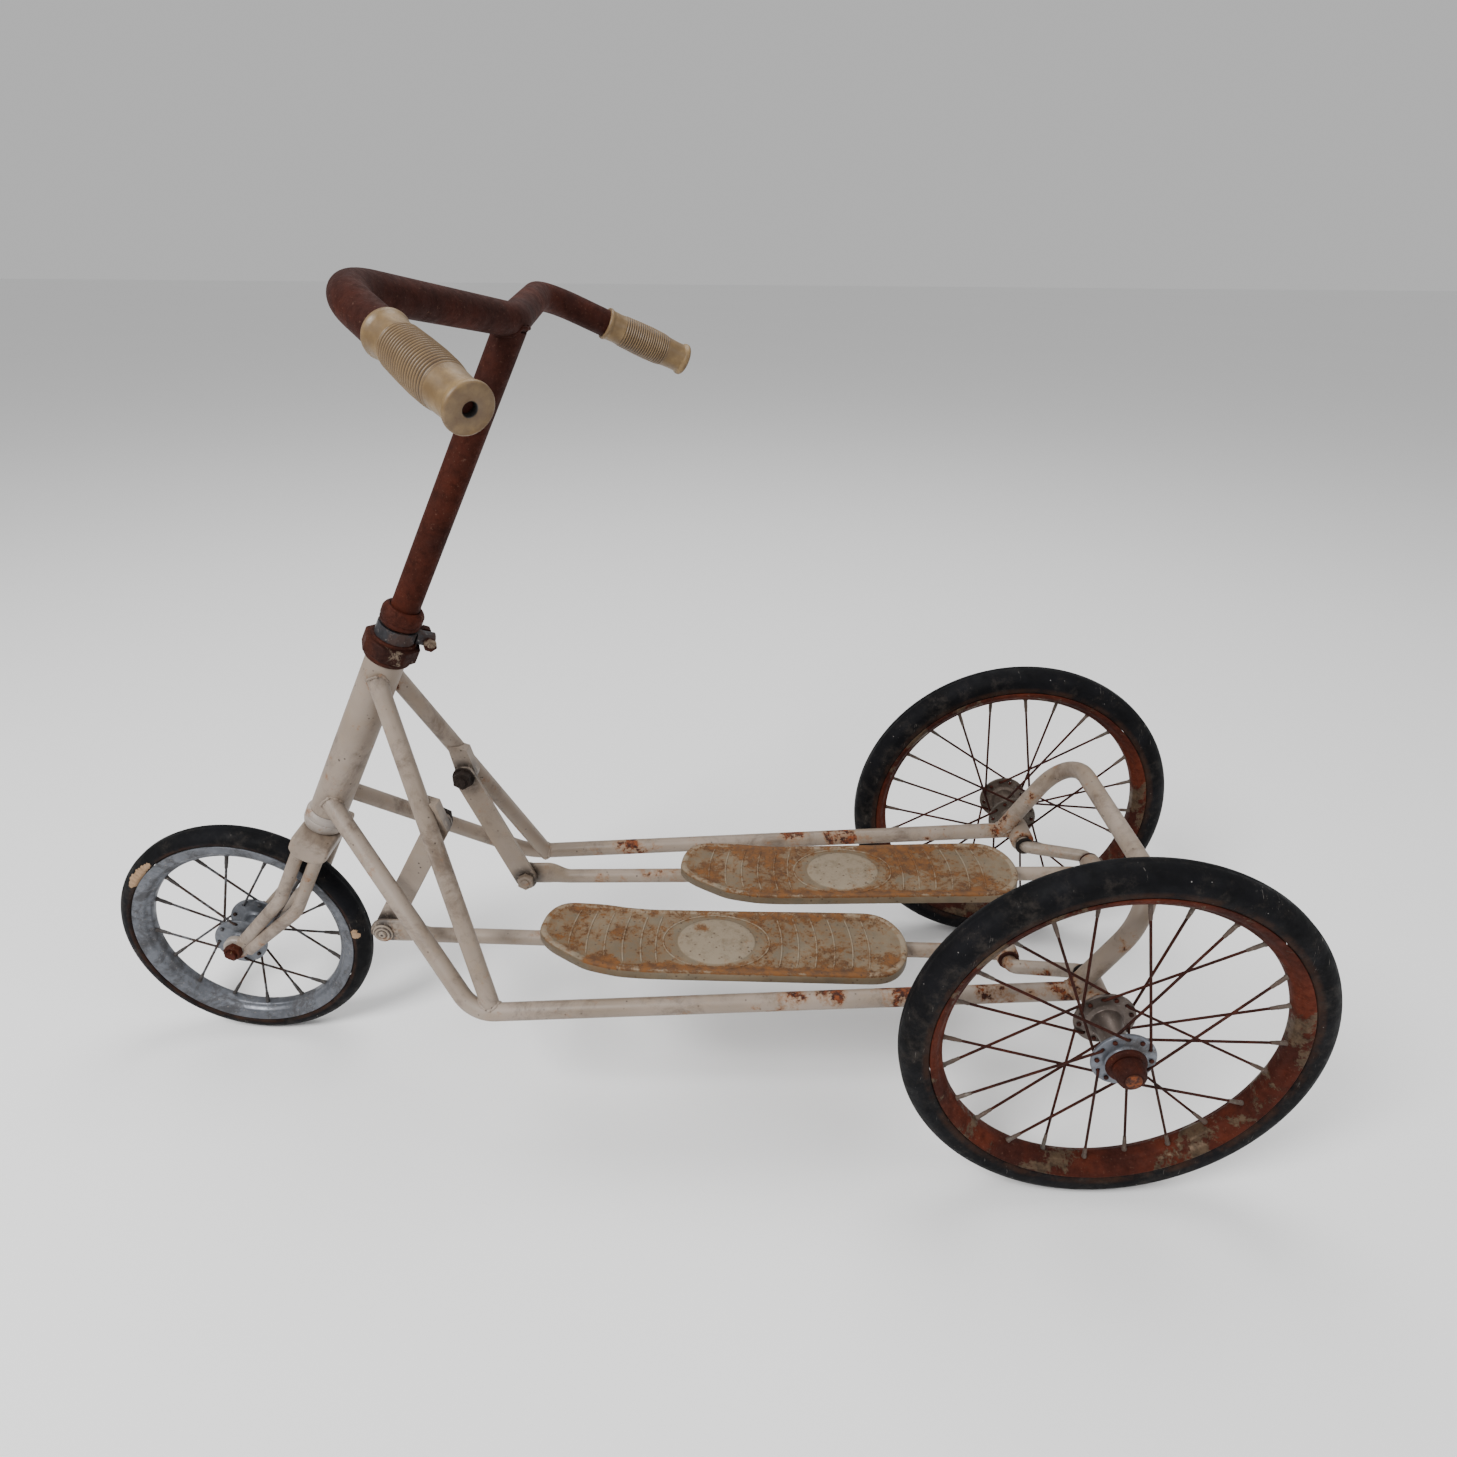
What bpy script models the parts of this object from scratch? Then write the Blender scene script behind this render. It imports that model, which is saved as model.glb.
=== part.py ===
"""Stand-up treadle tricycle for a child: three spoked wheels, two foot plates that drive a
cranked rear axle, and a raked head tube with a handlebar. Metres, +Z up, front towards -X,
rider's left towards -Y. The origin is on the floor below the middle of the object."""

import math

import bmesh
import bpy
from mathutils import Matrix, Vector

# Wheels
WHEELBASE = 0.735
REAR_RADIUS = 0.160
REAR_TYRE_HALF_WIDTH = 0.0147
REAR_RIM_EDGE = 0.1385
REAR_RIM_INNER = 0.127
REAR_WHEEL_Y = 0.1615
REAR_SPOKES = 12
FRONT_RADIUS = 0.114
FRONT_TYRE_HALF_WIDTH = 0.0123
FRONT_RIM_EDGE = 0.1005
FRONT_RIM_INNER = 0.0855
FRONT_SPOKES = 8
RIM_WALL = 0.002
SPOKE_RADIUS = 0.00125

# Places along X: the object's middle is at 0
REAR_X = (WHEELBASE + FRONT_RADIUS + REAR_RADIUS) / 2 - REAR_RADIUS
FRONT_X = REAR_X - WHEELBASE

# Steering axis: it meets the floor at STEER_X and leans back by RAKE
RAKE = math.radians(26.9)
STEER_X = FRONT_X - 0.026

# The turned handlebar reaches further left, so the frame's middle plane is right of the origin
MIDDLE_Y = 0.0107

# Frame tubes
TUBE_RADIUS = 0.0075
RAIL_Y = 0.1146
RAIL_CORNER = (REAR_X - 0.494, 0.128)
RAIL_REAR_Z = 0.1635
UPPER_TUBE_FOOT = (REAR_X - 0.478, 0.1266)
HEAD_SIDE = 0.012
UPPER_TUBE_HEAD = 0.4245
LOWER_TUBE_HEAD = 0.2959
HEAD_RADIUS = 0.0155
HEAD_BORE = 0.0135
HOOP_FOOT_X = REAR_X - 0.018
HOOP_TOP = (REAR_X + 0.037, 0.252)
FRAME_BEND = 0.035
HOOP_BEND = 0.052

# Steering parts, by their distance along the steering axis
CROWN_BOTTOM = 0.240
CROWN_TOP = 0.262
CROWN_HALF_WIDTH = 0.0315
CUP_TOP = 0.279
HEAD_TOP = 0.4375
RACE_TOP = 0.4435
NUT_TOP = 0.4565
STEERER_TOP = 0.4702
COLLAR_TOP = 0.4860
STEERER_RADIUS = 0.0127
STEM_RADIUS = 0.011
STEM_FOOT = 0.395
BAR_HEIGHT = 0.7148
BAR_TWIST = math.radians(9)
BAR_CORNER = (-0.0415, 0.158)
GRIP_END = (0.0753, 0.232)
GRIP_LENGTH = 0.079
BAR_BEND = 0.045
FORK_TUBE_RADIUS = 0.00575
FORK_Y = 0.025

# Treadle mechanism
AXLE_RADIUS = 0.006
AXLE_END = 0.2045
THROW = 0.053
LEFT_CRANK_ANGLE = math.radians(15)
RIGHT_CRANK_ANGLE = math.radians(4)
PEDAL_Y = 0.047
SLEEVE_HALF = 0.013
SLEEVE_RADIUS = 0.0095
PEDAL_BAR_RADIUS = 0.0065
PEDAL_BAR_LENGTH = 0.534
LINK_LENGTH = 0.120
LINK_PIVOT = (REAR_X - 0.5265, 0.261)
LINK_INNER_Y = 0.0355
LINK_OUTER_Y = 0.0395
BOLT_RADIUS = 0.004
PLATE_LENGTH = 0.312
PLATE_HALF_WIDTH = 0.0425
PLATE_SHIFT_Y = -0.0145
LEFT_PLATE_FROM_PIN = 0.243
RIGHT_PLATE_FROM_PIN = 0.233
BAR_DROP = 0.004
PLATE_HEIGHT = 0.009
PLATE_WALL = 0.0016
PLATE_GAP = 0.0025

GAP = 0.0003
SMOOTH = 18
WHEEL_STEPS = 40


# ---------------------------------------------------------------- scene and materials

for old in list(bpy.data.objects):
    bpy.data.objects.remove(old, do_unlink=True)

parts = bpy.data.collections.new("childrens_tricycle")
cutters = bpy.data.collections.new("cutters")
for group in (parts, cutters):
    bpy.context.scene.collection.children.link(group)


def material(name, colour, roughness, metallic):
    made = bpy.data.materials.new(name)
    made.use_nodes = True
    shader = made.node_tree.nodes["Principled BSDF"]
    shader.inputs["Base Color"].default_value = (*colour, 1)
    shader.inputs["Roughness"].default_value = roughness
    shader.inputs["Metallic"].default_value = metallic
    return made


PAINT = material("worn_cream_paint", (0.47, 0.41, 0.35), 0.55, 0.0)
RUST = material("rusty_steel", (0.10, 0.035, 0.02), 0.8, 0.3)
DARK_STEEL = material("dark_steel", (0.03, 0.025, 0.025), 0.5, 0.8)
GREY_STEEL = material("dull_plated_steel", (0.33, 0.34, 0.36), 0.45, 0.9)
RUBBER = material("black_rubber", (0.02, 0.02, 0.022), 0.75, 0.0)
GRIP_PLASTIC = material("aged_grip_plastic", (0.42, 0.34, 0.22), 0.5, 0.0)
PLATE_PAINT = material("rusty_cream_paint", (0.50, 0.40, 0.27), 0.65, 0.0)


# ---------------------------------------------------------------- making and cutting shapes

def put(obj, look, cutter=False):
    """Files a new object as a part, or as a cutter that is left out of the render."""
    for owner in list(obj.users_collection):
        owner.objects.unlink(obj)
    (cutters if cutter else parts).objects.link(obj)
    if cutter:
        obj.hide_render = True
        obj.display_type = "WIRE"
    elif look:
        obj.data.materials.append(look)
    return obj


def mesh_object(name, shape, look=None, cutter=False):
    mesh = bpy.data.meshes.new(name)
    shape.to_mesh(mesh)
    shape.free()
    return put(bpy.data.objects.new(name, mesh), look, cutter)


def smooth(obj, angle=35):
    obj.data.shade_smooth()
    obj.data.set_sharp_from_angle(angle=math.radians(angle))
    return obj


def along(direction):
    """Rotation that turns +Z to the direction."""
    return Vector(direction).to_track_quat("Z", "Y").to_matrix().to_4x4()


def rod_shape(start, end, radius, sides=SMOOTH, about=(0, 0, 0)):
    """A closed cylinder or prism between two points, as a bmesh placed about a point."""
    start, end = Vector(start), Vector(end)
    shape = bmesh.new()
    place = Matrix.Translation((start + end) / 2 - Vector(about)) @ along(end - start)
    bmesh.ops.create_cone(
        shape, cap_ends=True, segments=sides, radius1=radius, radius2=radius,
        depth=(end - start).length, matrix=place,
    )
    return shape


def rod(name, start, end, radius, look=None, sides=SMOOTH, cutter=False):
    """A cylinder or prism between two points, with its origin halfway along."""
    middle = (Vector(start) + Vector(end)) / 2
    obj = mesh_object(name, rod_shape(start, end, radius, sides, middle), look, cutter)
    obj.location = middle
    return smooth(obj)


def turned(name, loop, centre, axis, look=None, steps=SMOOTH, cutter=False):
    """A ring: a closed profile of (radius, height) that runs down its outer side, turned about axis."""
    shape = bmesh.new()
    points = [shape.verts.new((radius, 0, height)) for radius, height in loop]
    for first, second in zip(points, points[1:] + points[:1]):
        shape.edges.new((first, second))
    obj = mesh_object(name, shape, look, cutter)
    obj.matrix_world = Matrix.Translation(centre) @ along(axis)
    screw = obj.modifiers.new("turn", "SCREW")
    screw.steps = screw.render_steps = steps
    screw.use_merge_vertices = True
    screw.merge_threshold = 0.00001
    screw.use_smooth_shade = True
    return obj


def collar(name, inner, outer, low, high, centre, axis, look=None, steps=SMOOTH, cutter=False):
    loop = [(inner, high), (outer, high), (outer, low), (inner, low)]
    return turned(name, loop, centre, axis, look, steps, cutter)


def rounded_path(points, radius, steps=5):
    """The polyline with each inner corner replaced by an arc of the given bend radius."""
    points = [Vector(p) for p in points]
    path = [points[0]]
    for before, corner, after in zip(points, points[1:], points[2:]):
        to_before = (before - corner).normalized()
        to_after = (after - corner).normalized()
        half = to_before.angle(to_after) / 2
        reach = min(radius / math.tan(half), 0.45 * (before - corner).length, 0.45 * (after - corner).length)
        bend = reach * math.tan(half)
        bisector = (to_before + to_after).normalized()
        centre = corner + bisector * (bend / math.sin(half))
        first = corner + to_before * reach - centre
        second = corner + to_after * reach - centre
        turn = first.angle(second)
        if turn < math.radians(2):
            path.append(corner)
            continue
        for step in range(steps + 1):
            t = step / steps
            mixed = (first * math.sin((1 - t) * turn) + second * math.sin(t * turn)) / math.sin(turn)
            path.append(centre + mixed)
    return path + [points[-1]]


def tube(name, points, radius, look=None, bend=FRAME_BEND, steps=5, cutter=False, sides=3):
    """A round tube along a bent path, as a mesh that Booleans can use."""
    curve = bpy.data.curves.new(name + "_path", "CURVE")
    curve.dimensions = "3D"
    curve.bevel_depth = radius
    curve.bevel_resolution = sides
    curve.use_fill_caps = True
    path = rounded_path(points, bend, steps)
    origin = (path[0] + path[-1]) / 2
    spline = curve.splines.new("POLY")
    spline.points.add(len(path) - 1)
    for point, place in zip(spline.points, path):
        point.co = (*(place - origin), 1)
    guide = bpy.data.objects.new(name + "_path", curve)
    parts.objects.link(guide)
    bpy.context.view_layer.update()
    graph = bpy.context.evaluated_depsgraph_get()
    mesh = bpy.data.meshes.new_from_object(guide.evaluated_get(graph))
    shape = bmesh.new()
    shape.from_mesh(mesh)
    bmesh.ops.remove_doubles(shape, verts=shape.verts, dist=0.00001)
    bmesh.ops.recalc_face_normals(shape, faces=shape.faces)
    bpy.data.objects.remove(guide, do_unlink=True)
    bpy.data.meshes.remove(mesh)
    obj = mesh_object(name, shape, look, cutter)
    obj.location = origin
    return smooth(obj)


def slab(name, corners, push, look=None, cutter=False):
    """A flat outline of 3-D corners pushed along a vector, with its origin at the middle."""
    middle = sum(corners, Vector()) / len(corners) + push / 2
    shape = bmesh.new()
    face = shape.faces.new([shape.verts.new(corner - middle) for corner in corners])
    grown = bmesh.ops.extrude_face_region(shape, geom=[face])
    moved = [item for item in grown["geom"] if isinstance(item, bmesh.types.BMVert)]
    bmesh.ops.translate(shape, verts=moved, vec=push)
    bmesh.ops.recalc_face_normals(shape, faces=shape.faces)
    obj = mesh_object(name, shape, look, cutter)
    obj.location = middle
    return smooth(obj)


def plate(name, outline, low, high, look=None, cutter=False):
    """A flat plate: an outline in X and Z, from Y = low to Y = high."""
    corners = [Vector((x, low, z)) for x, z in outline]
    return slab(name, corners, Vector((0, high - low, 0)), look, cutter)


def boolean(obj, other, operation):
    change = obj.modifiers.new(operation.lower() + "_" + other.name, "BOOLEAN")
    change.operation = operation
    change.solver = "EXACT"
    change.object = other
    return obj


def cut(obj, *others):
    for other in others:
        boolean(obj, other, "DIFFERENCE")
    return obj


def join(obj, *others):
    """Joins helper shapes to the object; each helper becomes a hidden operand."""
    for other in others:
        boolean(obj, put(other, None, cutter=True), "UNION")
    return obj


# ---------------------------------------------------------------- places

def steer(s, back=0.0, side=0.0):
    """A point given by its distance along the steering axis, behind it, and to the rider's right."""
    return Vector((
        STEER_X + s * math.sin(RAKE) + back * math.cos(RAKE),
        side,
        s * math.cos(RAKE) - back * math.sin(RAKE),
    ))


STEER_AXIS = steer(1) - steer(0)
ACROSS = Vector((0, 1, 0))


def crank_pin(sign):
    """The crank pin's (x, z): the rider's left pin, sign -1, is in front and below."""
    angle = LEFT_CRANK_ANGLE if sign < 0 else RIGHT_CRANK_ANGLE
    return REAR_X + sign * THROW * math.cos(angle), REAR_RADIUS + sign * THROW * math.sin(angle)


def link_pin(sign):
    """The (x, z) where the link's free end meets the front of the pedal bar."""
    pin = Vector(crank_pin(sign))
    pivot = Vector(LINK_PIVOT)
    apart = pivot - pin
    reach = apart.length
    near = (PEDAL_BAR_LENGTH ** 2 - LINK_LENGTH ** 2 + reach ** 2) / (2 * reach)
    off = math.sqrt(PEDAL_BAR_LENGTH ** 2 - near ** 2)
    ahead = apart / reach
    below = Vector((ahead.y, -ahead.x))
    if below.y > 0:
        below = -below
    return tuple(pin + ahead * near + below * off)


def spaced(pair, y):
    return Vector((pair[0], y, pair[1]))


# ---------------------------------------------------------------- frame

def rail_path(sign):
    slope = (RAIL_REAR_Z - RAIL_CORNER[1]) / (REAR_X - RAIL_CORNER[0])
    end = (REAR_X - 0.002, RAIL_REAR_Z - 0.002 * slope)
    head = steer(LOWER_TUBE_HEAD, 0, sign * HEAD_SIDE)
    return [head, spaced(RAIL_CORNER, sign * RAIL_Y), spaced(end, sign * RAIL_Y)]


def upper_tube_path(sign):
    return [steer(UPPER_TUBE_HEAD, 0, sign * HEAD_SIDE), spaced(UPPER_TUBE_FOOT, sign * RAIL_Y)]


def hoop_path():
    rail_z = RAIL_REAR_Z - 0.0014
    return [
        Vector((HOOP_FOOT_X, -RAIL_Y, rail_z)), spaced(HOOP_TOP, -RAIL_Y),
        spaced(HOOP_TOP, RAIL_Y), Vector((HOOP_FOOT_X, RAIL_Y, rail_z)),
    ]


def make_frame():
    centre = steer(0)
    collar("head_tube", HEAD_BORE, HEAD_RADIUS, CUP_TOP + GAP, HEAD_TOP, centre, STEER_AXIS, PAINT)
    head_cutter = rod(
        "head_cutter", steer(CROWN_TOP), steer(NUT_TOP), HEAD_RADIUS + GAP + 0.0002, cutter=True, sides=32
    )
    make_head_cups(centre)
    make_sides(head_cutter)


def make_head_cups(centre):
    low, high = CROWN_TOP + GAP, CUP_TOP
    turned("lower_head_cup", [
        (0.0132, high), (0.0158, high), (0.0176, high - 0.003), (0.0176, low + 0.005),
        (0.0162, low), (0.0132, low),
    ], centre, STEER_AXIS, PAINT)
    low, high = HEAD_TOP + GAP, RACE_TOP
    turned("upper_head_cup", [
        (0.0132, high), (0.0185, high), (0.0185, low + 0.002), (0.0165, low), (0.0132, low),
    ], centre, STEER_AXIS, RUST)


def make_sides(head_cutter):
    rail_cutters = []
    bearing_cutters = []
    for side, sign in (("left", -1), ("right", 1)):
        bearing_cutter = rod(
            side + "_bearing_cutter", (REAR_X, sign * 0.09, REAR_RADIUS),
            (REAR_X, sign * 0.14, REAR_RADIUS), 0.0113, cutter=True, sides=32,
        )
        rail_cutter = tube(side + "_rail_cutter", rail_path(sign), TUBE_RADIUS + 0.0006, cutter=True)
        rail_cutters.append(rail_cutter)
        bearing_cutters.append(bearing_cutter)
        rail = tube(side + "_frame_rail", rail_path(sign), TUBE_RADIUS, PAINT)
        cut(rail, head_cutter, bearing_cutter)
        upper = tube(side + "_upper_tube", upper_tube_path(sign), TUBE_RADIUS, PAINT)
        cut(upper, head_cutter, rail_cutter)
        collar(
            side + "_axle_bearing", AXLE_RADIUS + GAP, 0.011, -0.015, 0.015,
            (REAR_X, sign * 0.112, REAR_RADIUS), ACROSS, PAINT,
        )
        make_link_lug(side, sign)
    hoop = tube("rear_hoop", hoop_path(), TUBE_RADIUS + 0.0005, PAINT, bend=HOOP_BEND)
    cut(hoop, *rail_cutters, *bearing_cutters)


def make_link_lug(side, sign):
    """The plate on the inner side of the upper tube that carries the link's bolt."""
    x, z = LINK_PIVOT
    outline = [(x + 0.010 * math.cos(a), z + 0.010 * math.sin(a)) for a in arc(150, 390, 10)]
    outline += [(x + 0.004, z + 0.024), (x - 0.013, z + 0.030)]
    low, high = sorted((sign * 0.0402, sign * 0.0640))
    lug = plate(side + "_link_lug", outline, low, high, PAINT)
    hole = rod(
        side + "_lug_hole", (x, sign * 0.038, z), (x, sign * 0.0492, z),
        BOLT_RADIUS + GAP, cutter=True,
    )
    tube_cutter = tube(side + "_upper_cutter", upper_tube_path(sign), TUBE_RADIUS + 0.0006, cutter=True)
    outside = plate(
        side + "_lug_outside_cutter",
        [(x - 0.05, z - 0.05), (x + 0.05, z - 0.05), (x + 0.05, z + 0.05), (x - 0.05, z + 0.05)],
        *sorted((sign * 0.0525, sign * 0.08)), cutter=True,
    )
    cut(lug, hole, outside, tube_cutter)
    bolt = rod(side + "_link_bolt", (x, sign * 0.0253, z), (x, sign * 0.0488, z), BOLT_RADIUS, DARK_STEEL)
    nut = rod(side + "_link_nut_shape", (x, sign * 0.0272, z), (x, sign * 0.0338, z), 0.0085, sides=6)
    washer = rod(side + "_link_washer_shape", (x, sign * 0.0335, z), (x, sign * 0.0351, z), 0.0098)
    join(bolt, washer, nut)


def arc(first, last, count):
    """Angles in radians from first to last, both given in degrees."""
    return [math.radians(first + (last - first) * i / count) for i in range(count + 1)]


# ---------------------------------------------------------------- fork, stem and handlebar

def fork_paths(sign):
    """The two tubes of one fork leg: parallel to the steering axis, then swept forward to the axle."""
    axle_s, axle_back = front_axle()
    side = sign * FORK_Y
    front = [
        steer(CROWN_BOTTOM + 0.012, -0.0068, side), steer(0.186, -0.0068, side),
        steer(axle_s + 0.006, axle_back + 0.003, side),
    ]
    rear = [
        steer(CROWN_BOTTOM + 0.012, 0.0092, side), steer(0.180, 0.0092, side),
        steer(axle_s + 0.002, axle_back + 0.010, side),
    ]
    return front, rear


def front_axle():
    """The front axle's distance along the steering axis, and its distance behind it."""
    dx = FRONT_X - STEER_X
    return (
        dx * math.sin(RAKE) + FRONT_RADIUS * math.cos(RAKE),
        dx * math.cos(RAKE) - FRONT_RADIUS * math.sin(RAKE),
    )


def crown_shape(name, extra, look=None, cutter=False):
    """The fork's cast crown: a block with rounded cheeks, built square on and leaned back."""
    half = 0.0165 + extra
    bottom = CROWN_BOTTOM - extra
    outline = [(0.0012 + half, CROWN_TOP), (0.0012 - half, CROWN_TOP)]
    outline += [
        (0.0012 - half * math.cos(a), bottom + 0.010 - 0.010 * math.sin(a)) for a in arc(0, 180, 12)
    ]
    corners = [steer(s, back, -CROWN_HALF_WIDTH - extra) for back, s in outline]
    return slab(name, corners, ACROSS * 2 * (CROWN_HALF_WIDTH + extra), look, cutter)


def make_fork():
    crown_cutter = crown_shape("crown_cutter", GAP, cutter=True)
    crown = crown_shape("fork_crown", 0.0, PAINT)
    steerer = rod("steerer_shape", steer(CROWN_TOP - 0.008), steer(STEERER_TOP), STEERER_RADIUS)
    bore = rod("steerer_bore", steer(0.330), steer(STEERER_TOP + 0.01), STEM_RADIUS + GAP, cutter=True)
    join(crown, steerer)
    cut(crown, bore)
    axle = spaced((FRONT_X, FRONT_RADIUS), 0)
    hole = rod("fork_axle_hole", axle - ACROSS * 0.05, axle + ACROSS * 0.05, 0.0043 + GAP, cutter=True)
    for side, sign in (("left", -1), ("right", 1)):
        front, rear = fork_paths(sign)
        leg = tube(side + "_fork_leg", front, FORK_TUBE_RADIUS, PAINT)
        second = tube(side + "_fork_leg_rear_shape", rear, FORK_TUBE_RADIUS)
        eye = rod(
            side + "_dropout_shape", axle + ACROSS * (sign * 0.0213), axle + ACROSS * (sign * 0.0275), 0.0110
        )
        seat = rod(
            side + "_nut_seat_cutter", axle + ACROSS * (sign * 0.0276), axle + ACROSS * (sign * 0.0350),
            0.0098, cutter=True,
        )
        join(leg, second, eye)
        cut(leg, crown_cutter, hole, seat)
        rod(
            side + "_front_axle_nut", axle + ACROSS * (sign * 0.0279), axle + ACROSS * (sign * 0.0339),
            0.0082, RUST, sides=6,
        )
        nut_hole = rod(
            side + "_front_nut_hole", axle + ACROSS * (sign * 0.026), axle + ACROSS * (sign * 0.036),
            0.0043 + GAP, cutter=True,
        )
        cut(bpy.data.objects[side + "_front_axle_nut"], nut_hole)
    rod("front_axle", axle - ACROSS * 0.0365, axle + ACROSS * 0.0365, 0.0043, RUST)


def make_headset():
    centre = steer(0)
    nut = rod("headset_nut", steer(RACE_TOP + GAP), steer(NUT_TOP), 0.0225, RUST, sides=8)
    cut(nut, rod("headset_nut_hole", steer(RACE_TOP - 0.01), steer(NUT_TOP + 0.01), 0.0131, cutter=True))
    band = collar(
        "clamp_collar", 0.0131, 0.0158, NUT_TOP + 0.0008, STEERER_TOP - 0.0008, centre, STEER_AXIS, GREY_STEEL
    )
    level = (NUT_TOP + STEERER_TOP) / 2 + 0.0005
    ear_start = steer(level, 0.0140, 0.004)
    ear_end = steer(level, 0.0265, 0.0115)
    ear = rod("clamp_ear_shape", ear_start, ear_end, 0.0060, sides=16)
    join(band, ear)
    ear_axis = (ear_end - ear_start).normalized().cross(STEER_AXIS)
    middle = steer(level, 0.0225, 0.009)
    slot = rod("clamp_bolt_hole", middle - ear_axis * 0.02, middle + ear_axis * 0.02, 0.0033, cutter=True)
    cut(band, slot, rod("clamp_bore", steer(0.44), steer(0.48), 0.0131, cutter=True))
    bolt = rod("clamp_bolt", middle - ear_axis * 0.0125, middle + ear_axis * 0.0135, 0.0028, RUST, sides=12)
    head = rod(
        "clamp_bolt_head_shape", middle - ear_axis * 0.0125, middle - ear_axis * 0.0065, 0.0055, sides=6
    )
    nut_shape = rod(
        "clamp_bolt_nut_shape", middle + ear_axis * 0.0065, middle + ear_axis * 0.0118, 0.0055, sides=6
    )
    join(bolt, head, nut_shape)
    turned("stem_collar", [
        (STEM_RADIUS + GAP, COLLAR_TOP), (0.0135, COLLAR_TOP), (0.0163, COLLAR_TOP - 0.004),
        (0.0163, STEERER_TOP + 0.003), (0.0150, STEERER_TOP + 0.0006),
        (STEM_RADIUS + GAP, STEERER_TOP + 0.0006),
    ], centre, STEER_AXIS, RUST)


def bar_point(place, sign):
    """A point of the handlebar: (behind, beside) the stem, turned with the bar about the stem."""
    spot = Matrix.Rotation(-BAR_TWIST, 2) @ Vector((place[0], place[1] * sign))
    return steer(BAR_HEIGHT, spot.x, spot.y)


def make_handlebar():
    path = [
        bar_point(GRIP_END, -1), bar_point(BAR_CORNER, -1), bar_point((0, 0), 1),
        bar_point(BAR_CORNER, 1), bar_point(GRIP_END, 1),
    ]
    for end, inner in ((0, 1), (-1, -2)):
        path[end] = path[end] + (path[inner] - path[end]).normalized() * 0.004
    tube("handlebar", path, STEM_RADIUS, RUST, bend=BAR_BEND, steps=6, sides=4)
    bar_cutter = tube("handlebar_cutter", path, STEM_RADIUS + 0.0006, bend=BAR_BEND, steps=6, cutter=True)
    stem = rod("stem", steer(STEM_FOOT), steer(BAR_HEIGHT), STEM_RADIUS, RUST)
    cut(stem, bar_cutter)
    for side, sign in (("left", -1), ("right", 1)):
        make_grip(side, sign)


def make_grip(side, sign):
    end = bar_point(GRIP_END, sign)
    ahead = (end - bar_point(BAR_CORNER, sign)).normalized()
    length = GRIP_LENGTH
    inner = STEM_RADIUS + GAP + 0.0001
    profile = [
        (0.0036, length), (0.0133, length), (0.0133, length - 0.004), (0.0125, length - 0.012),
        (0.0142, length - 0.025), (0.0144, length / 2), (0.0138, 0.022), (0.0125, 0.012), (0.0130, 0.0),
        (inner, 0.0), (inner, length - 0.0037), (0.0036, length - 0.0037),
    ]
    turned(side + "_grip", profile, end - ahead * length, ahead, GRIP_PLASTIC)


# ---------------------------------------------------------------- wheels

def wheel_parts(prefix, centre, tyre, rim, hub, spokes, spoke_turn):
    """Tyre, rim, and hub with its spokes. Sizes are radii and half widths; heights run along Y."""
    outer, half_width = tyre
    edge, inner = rim
    middle = outer - half_width
    loop = [(middle + half_width * math.cos(a), half_width * math.sin(a)) for a in arc(66, -66, 6)]
    loop += [(edge, -0.86 * half_width), (edge, 0.86 * half_width)]
    turned(prefix + "_tyre", loop, centre, ACROSS, RUBBER, steps=WHEEL_STEPS)
    lip = half_width * 0.8
    brim = edge - GAP
    floor = inner + 0.0055
    turned(prefix + "_rim", [
        (inner, 0.4 * lip), (edge - 0.004, lip), (brim, lip), (brim, lip - RIM_WALL), (floor, 0.3 * lip),
        (floor, -0.3 * lip), (brim, -lip + RIM_WALL), (brim, -lip), (edge - 0.004, -lip), (inner, -0.4 * lip),
    ], centre, ACROSS, GREY_STEEL if prefix == "front" else RUST, steps=WHEEL_STEPS)
    make_hub(prefix, centre, hub, inner, spokes, spoke_turn)


def make_hub(prefix, centre, hub, rim_inner, spokes, spoke_turn):
    bore, barrel, flange, flange_at, end = hub
    thick = 0.0026
    shell = turned(prefix + "_hub", [
        (bore, end), (barrel, end), (barrel, flange_at + thick), (flange, flange_at + thick),
        (flange, flange_at), (barrel * 0.92, flange_at), (barrel * 0.92, -flange_at),
        (flange, -flange_at), (flange, -flange_at - thick), (barrel, -flange_at - thick),
        (barrel, -end), (bore, -end),
    ], centre, ACROSS, GREY_STEEL)
    shapes = bmesh.new()
    for face in (-1, 1):
        for k in range(spokes):
            rim_angle = 2 * math.pi * (k + (0.5 if face > 0 else 0.0)) / spokes
            hub_angle = rim_angle + (spoke_turn if k % 2 else -spoke_turn)
            start = wheel_point(flange - 0.004, hub_angle, face * (flange_at + thick / 2))
            finish = wheel_point(rim_inner - 0.0012, rim_angle, face * 0.002)
            spoke = rod_shape(start, finish, SPOKE_RADIUS, sides=4)
            mesh = bpy.data.meshes.new("spoke")
            spoke.to_mesh(mesh)
            spoke.free()
            shapes.from_mesh(mesh)
            bpy.data.meshes.remove(mesh)
    web = mesh_object(prefix + "_spokes_shape", shapes)
    web.location = centre
    join(shell, web)
    shell.modifiers[-1].use_self = True


def wheel_point(radius, angle, y):
    """A point of a wheel, seen from the wheel's centre."""
    return Vector((radius * math.cos(angle), y, radius * math.sin(angle)))


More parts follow.
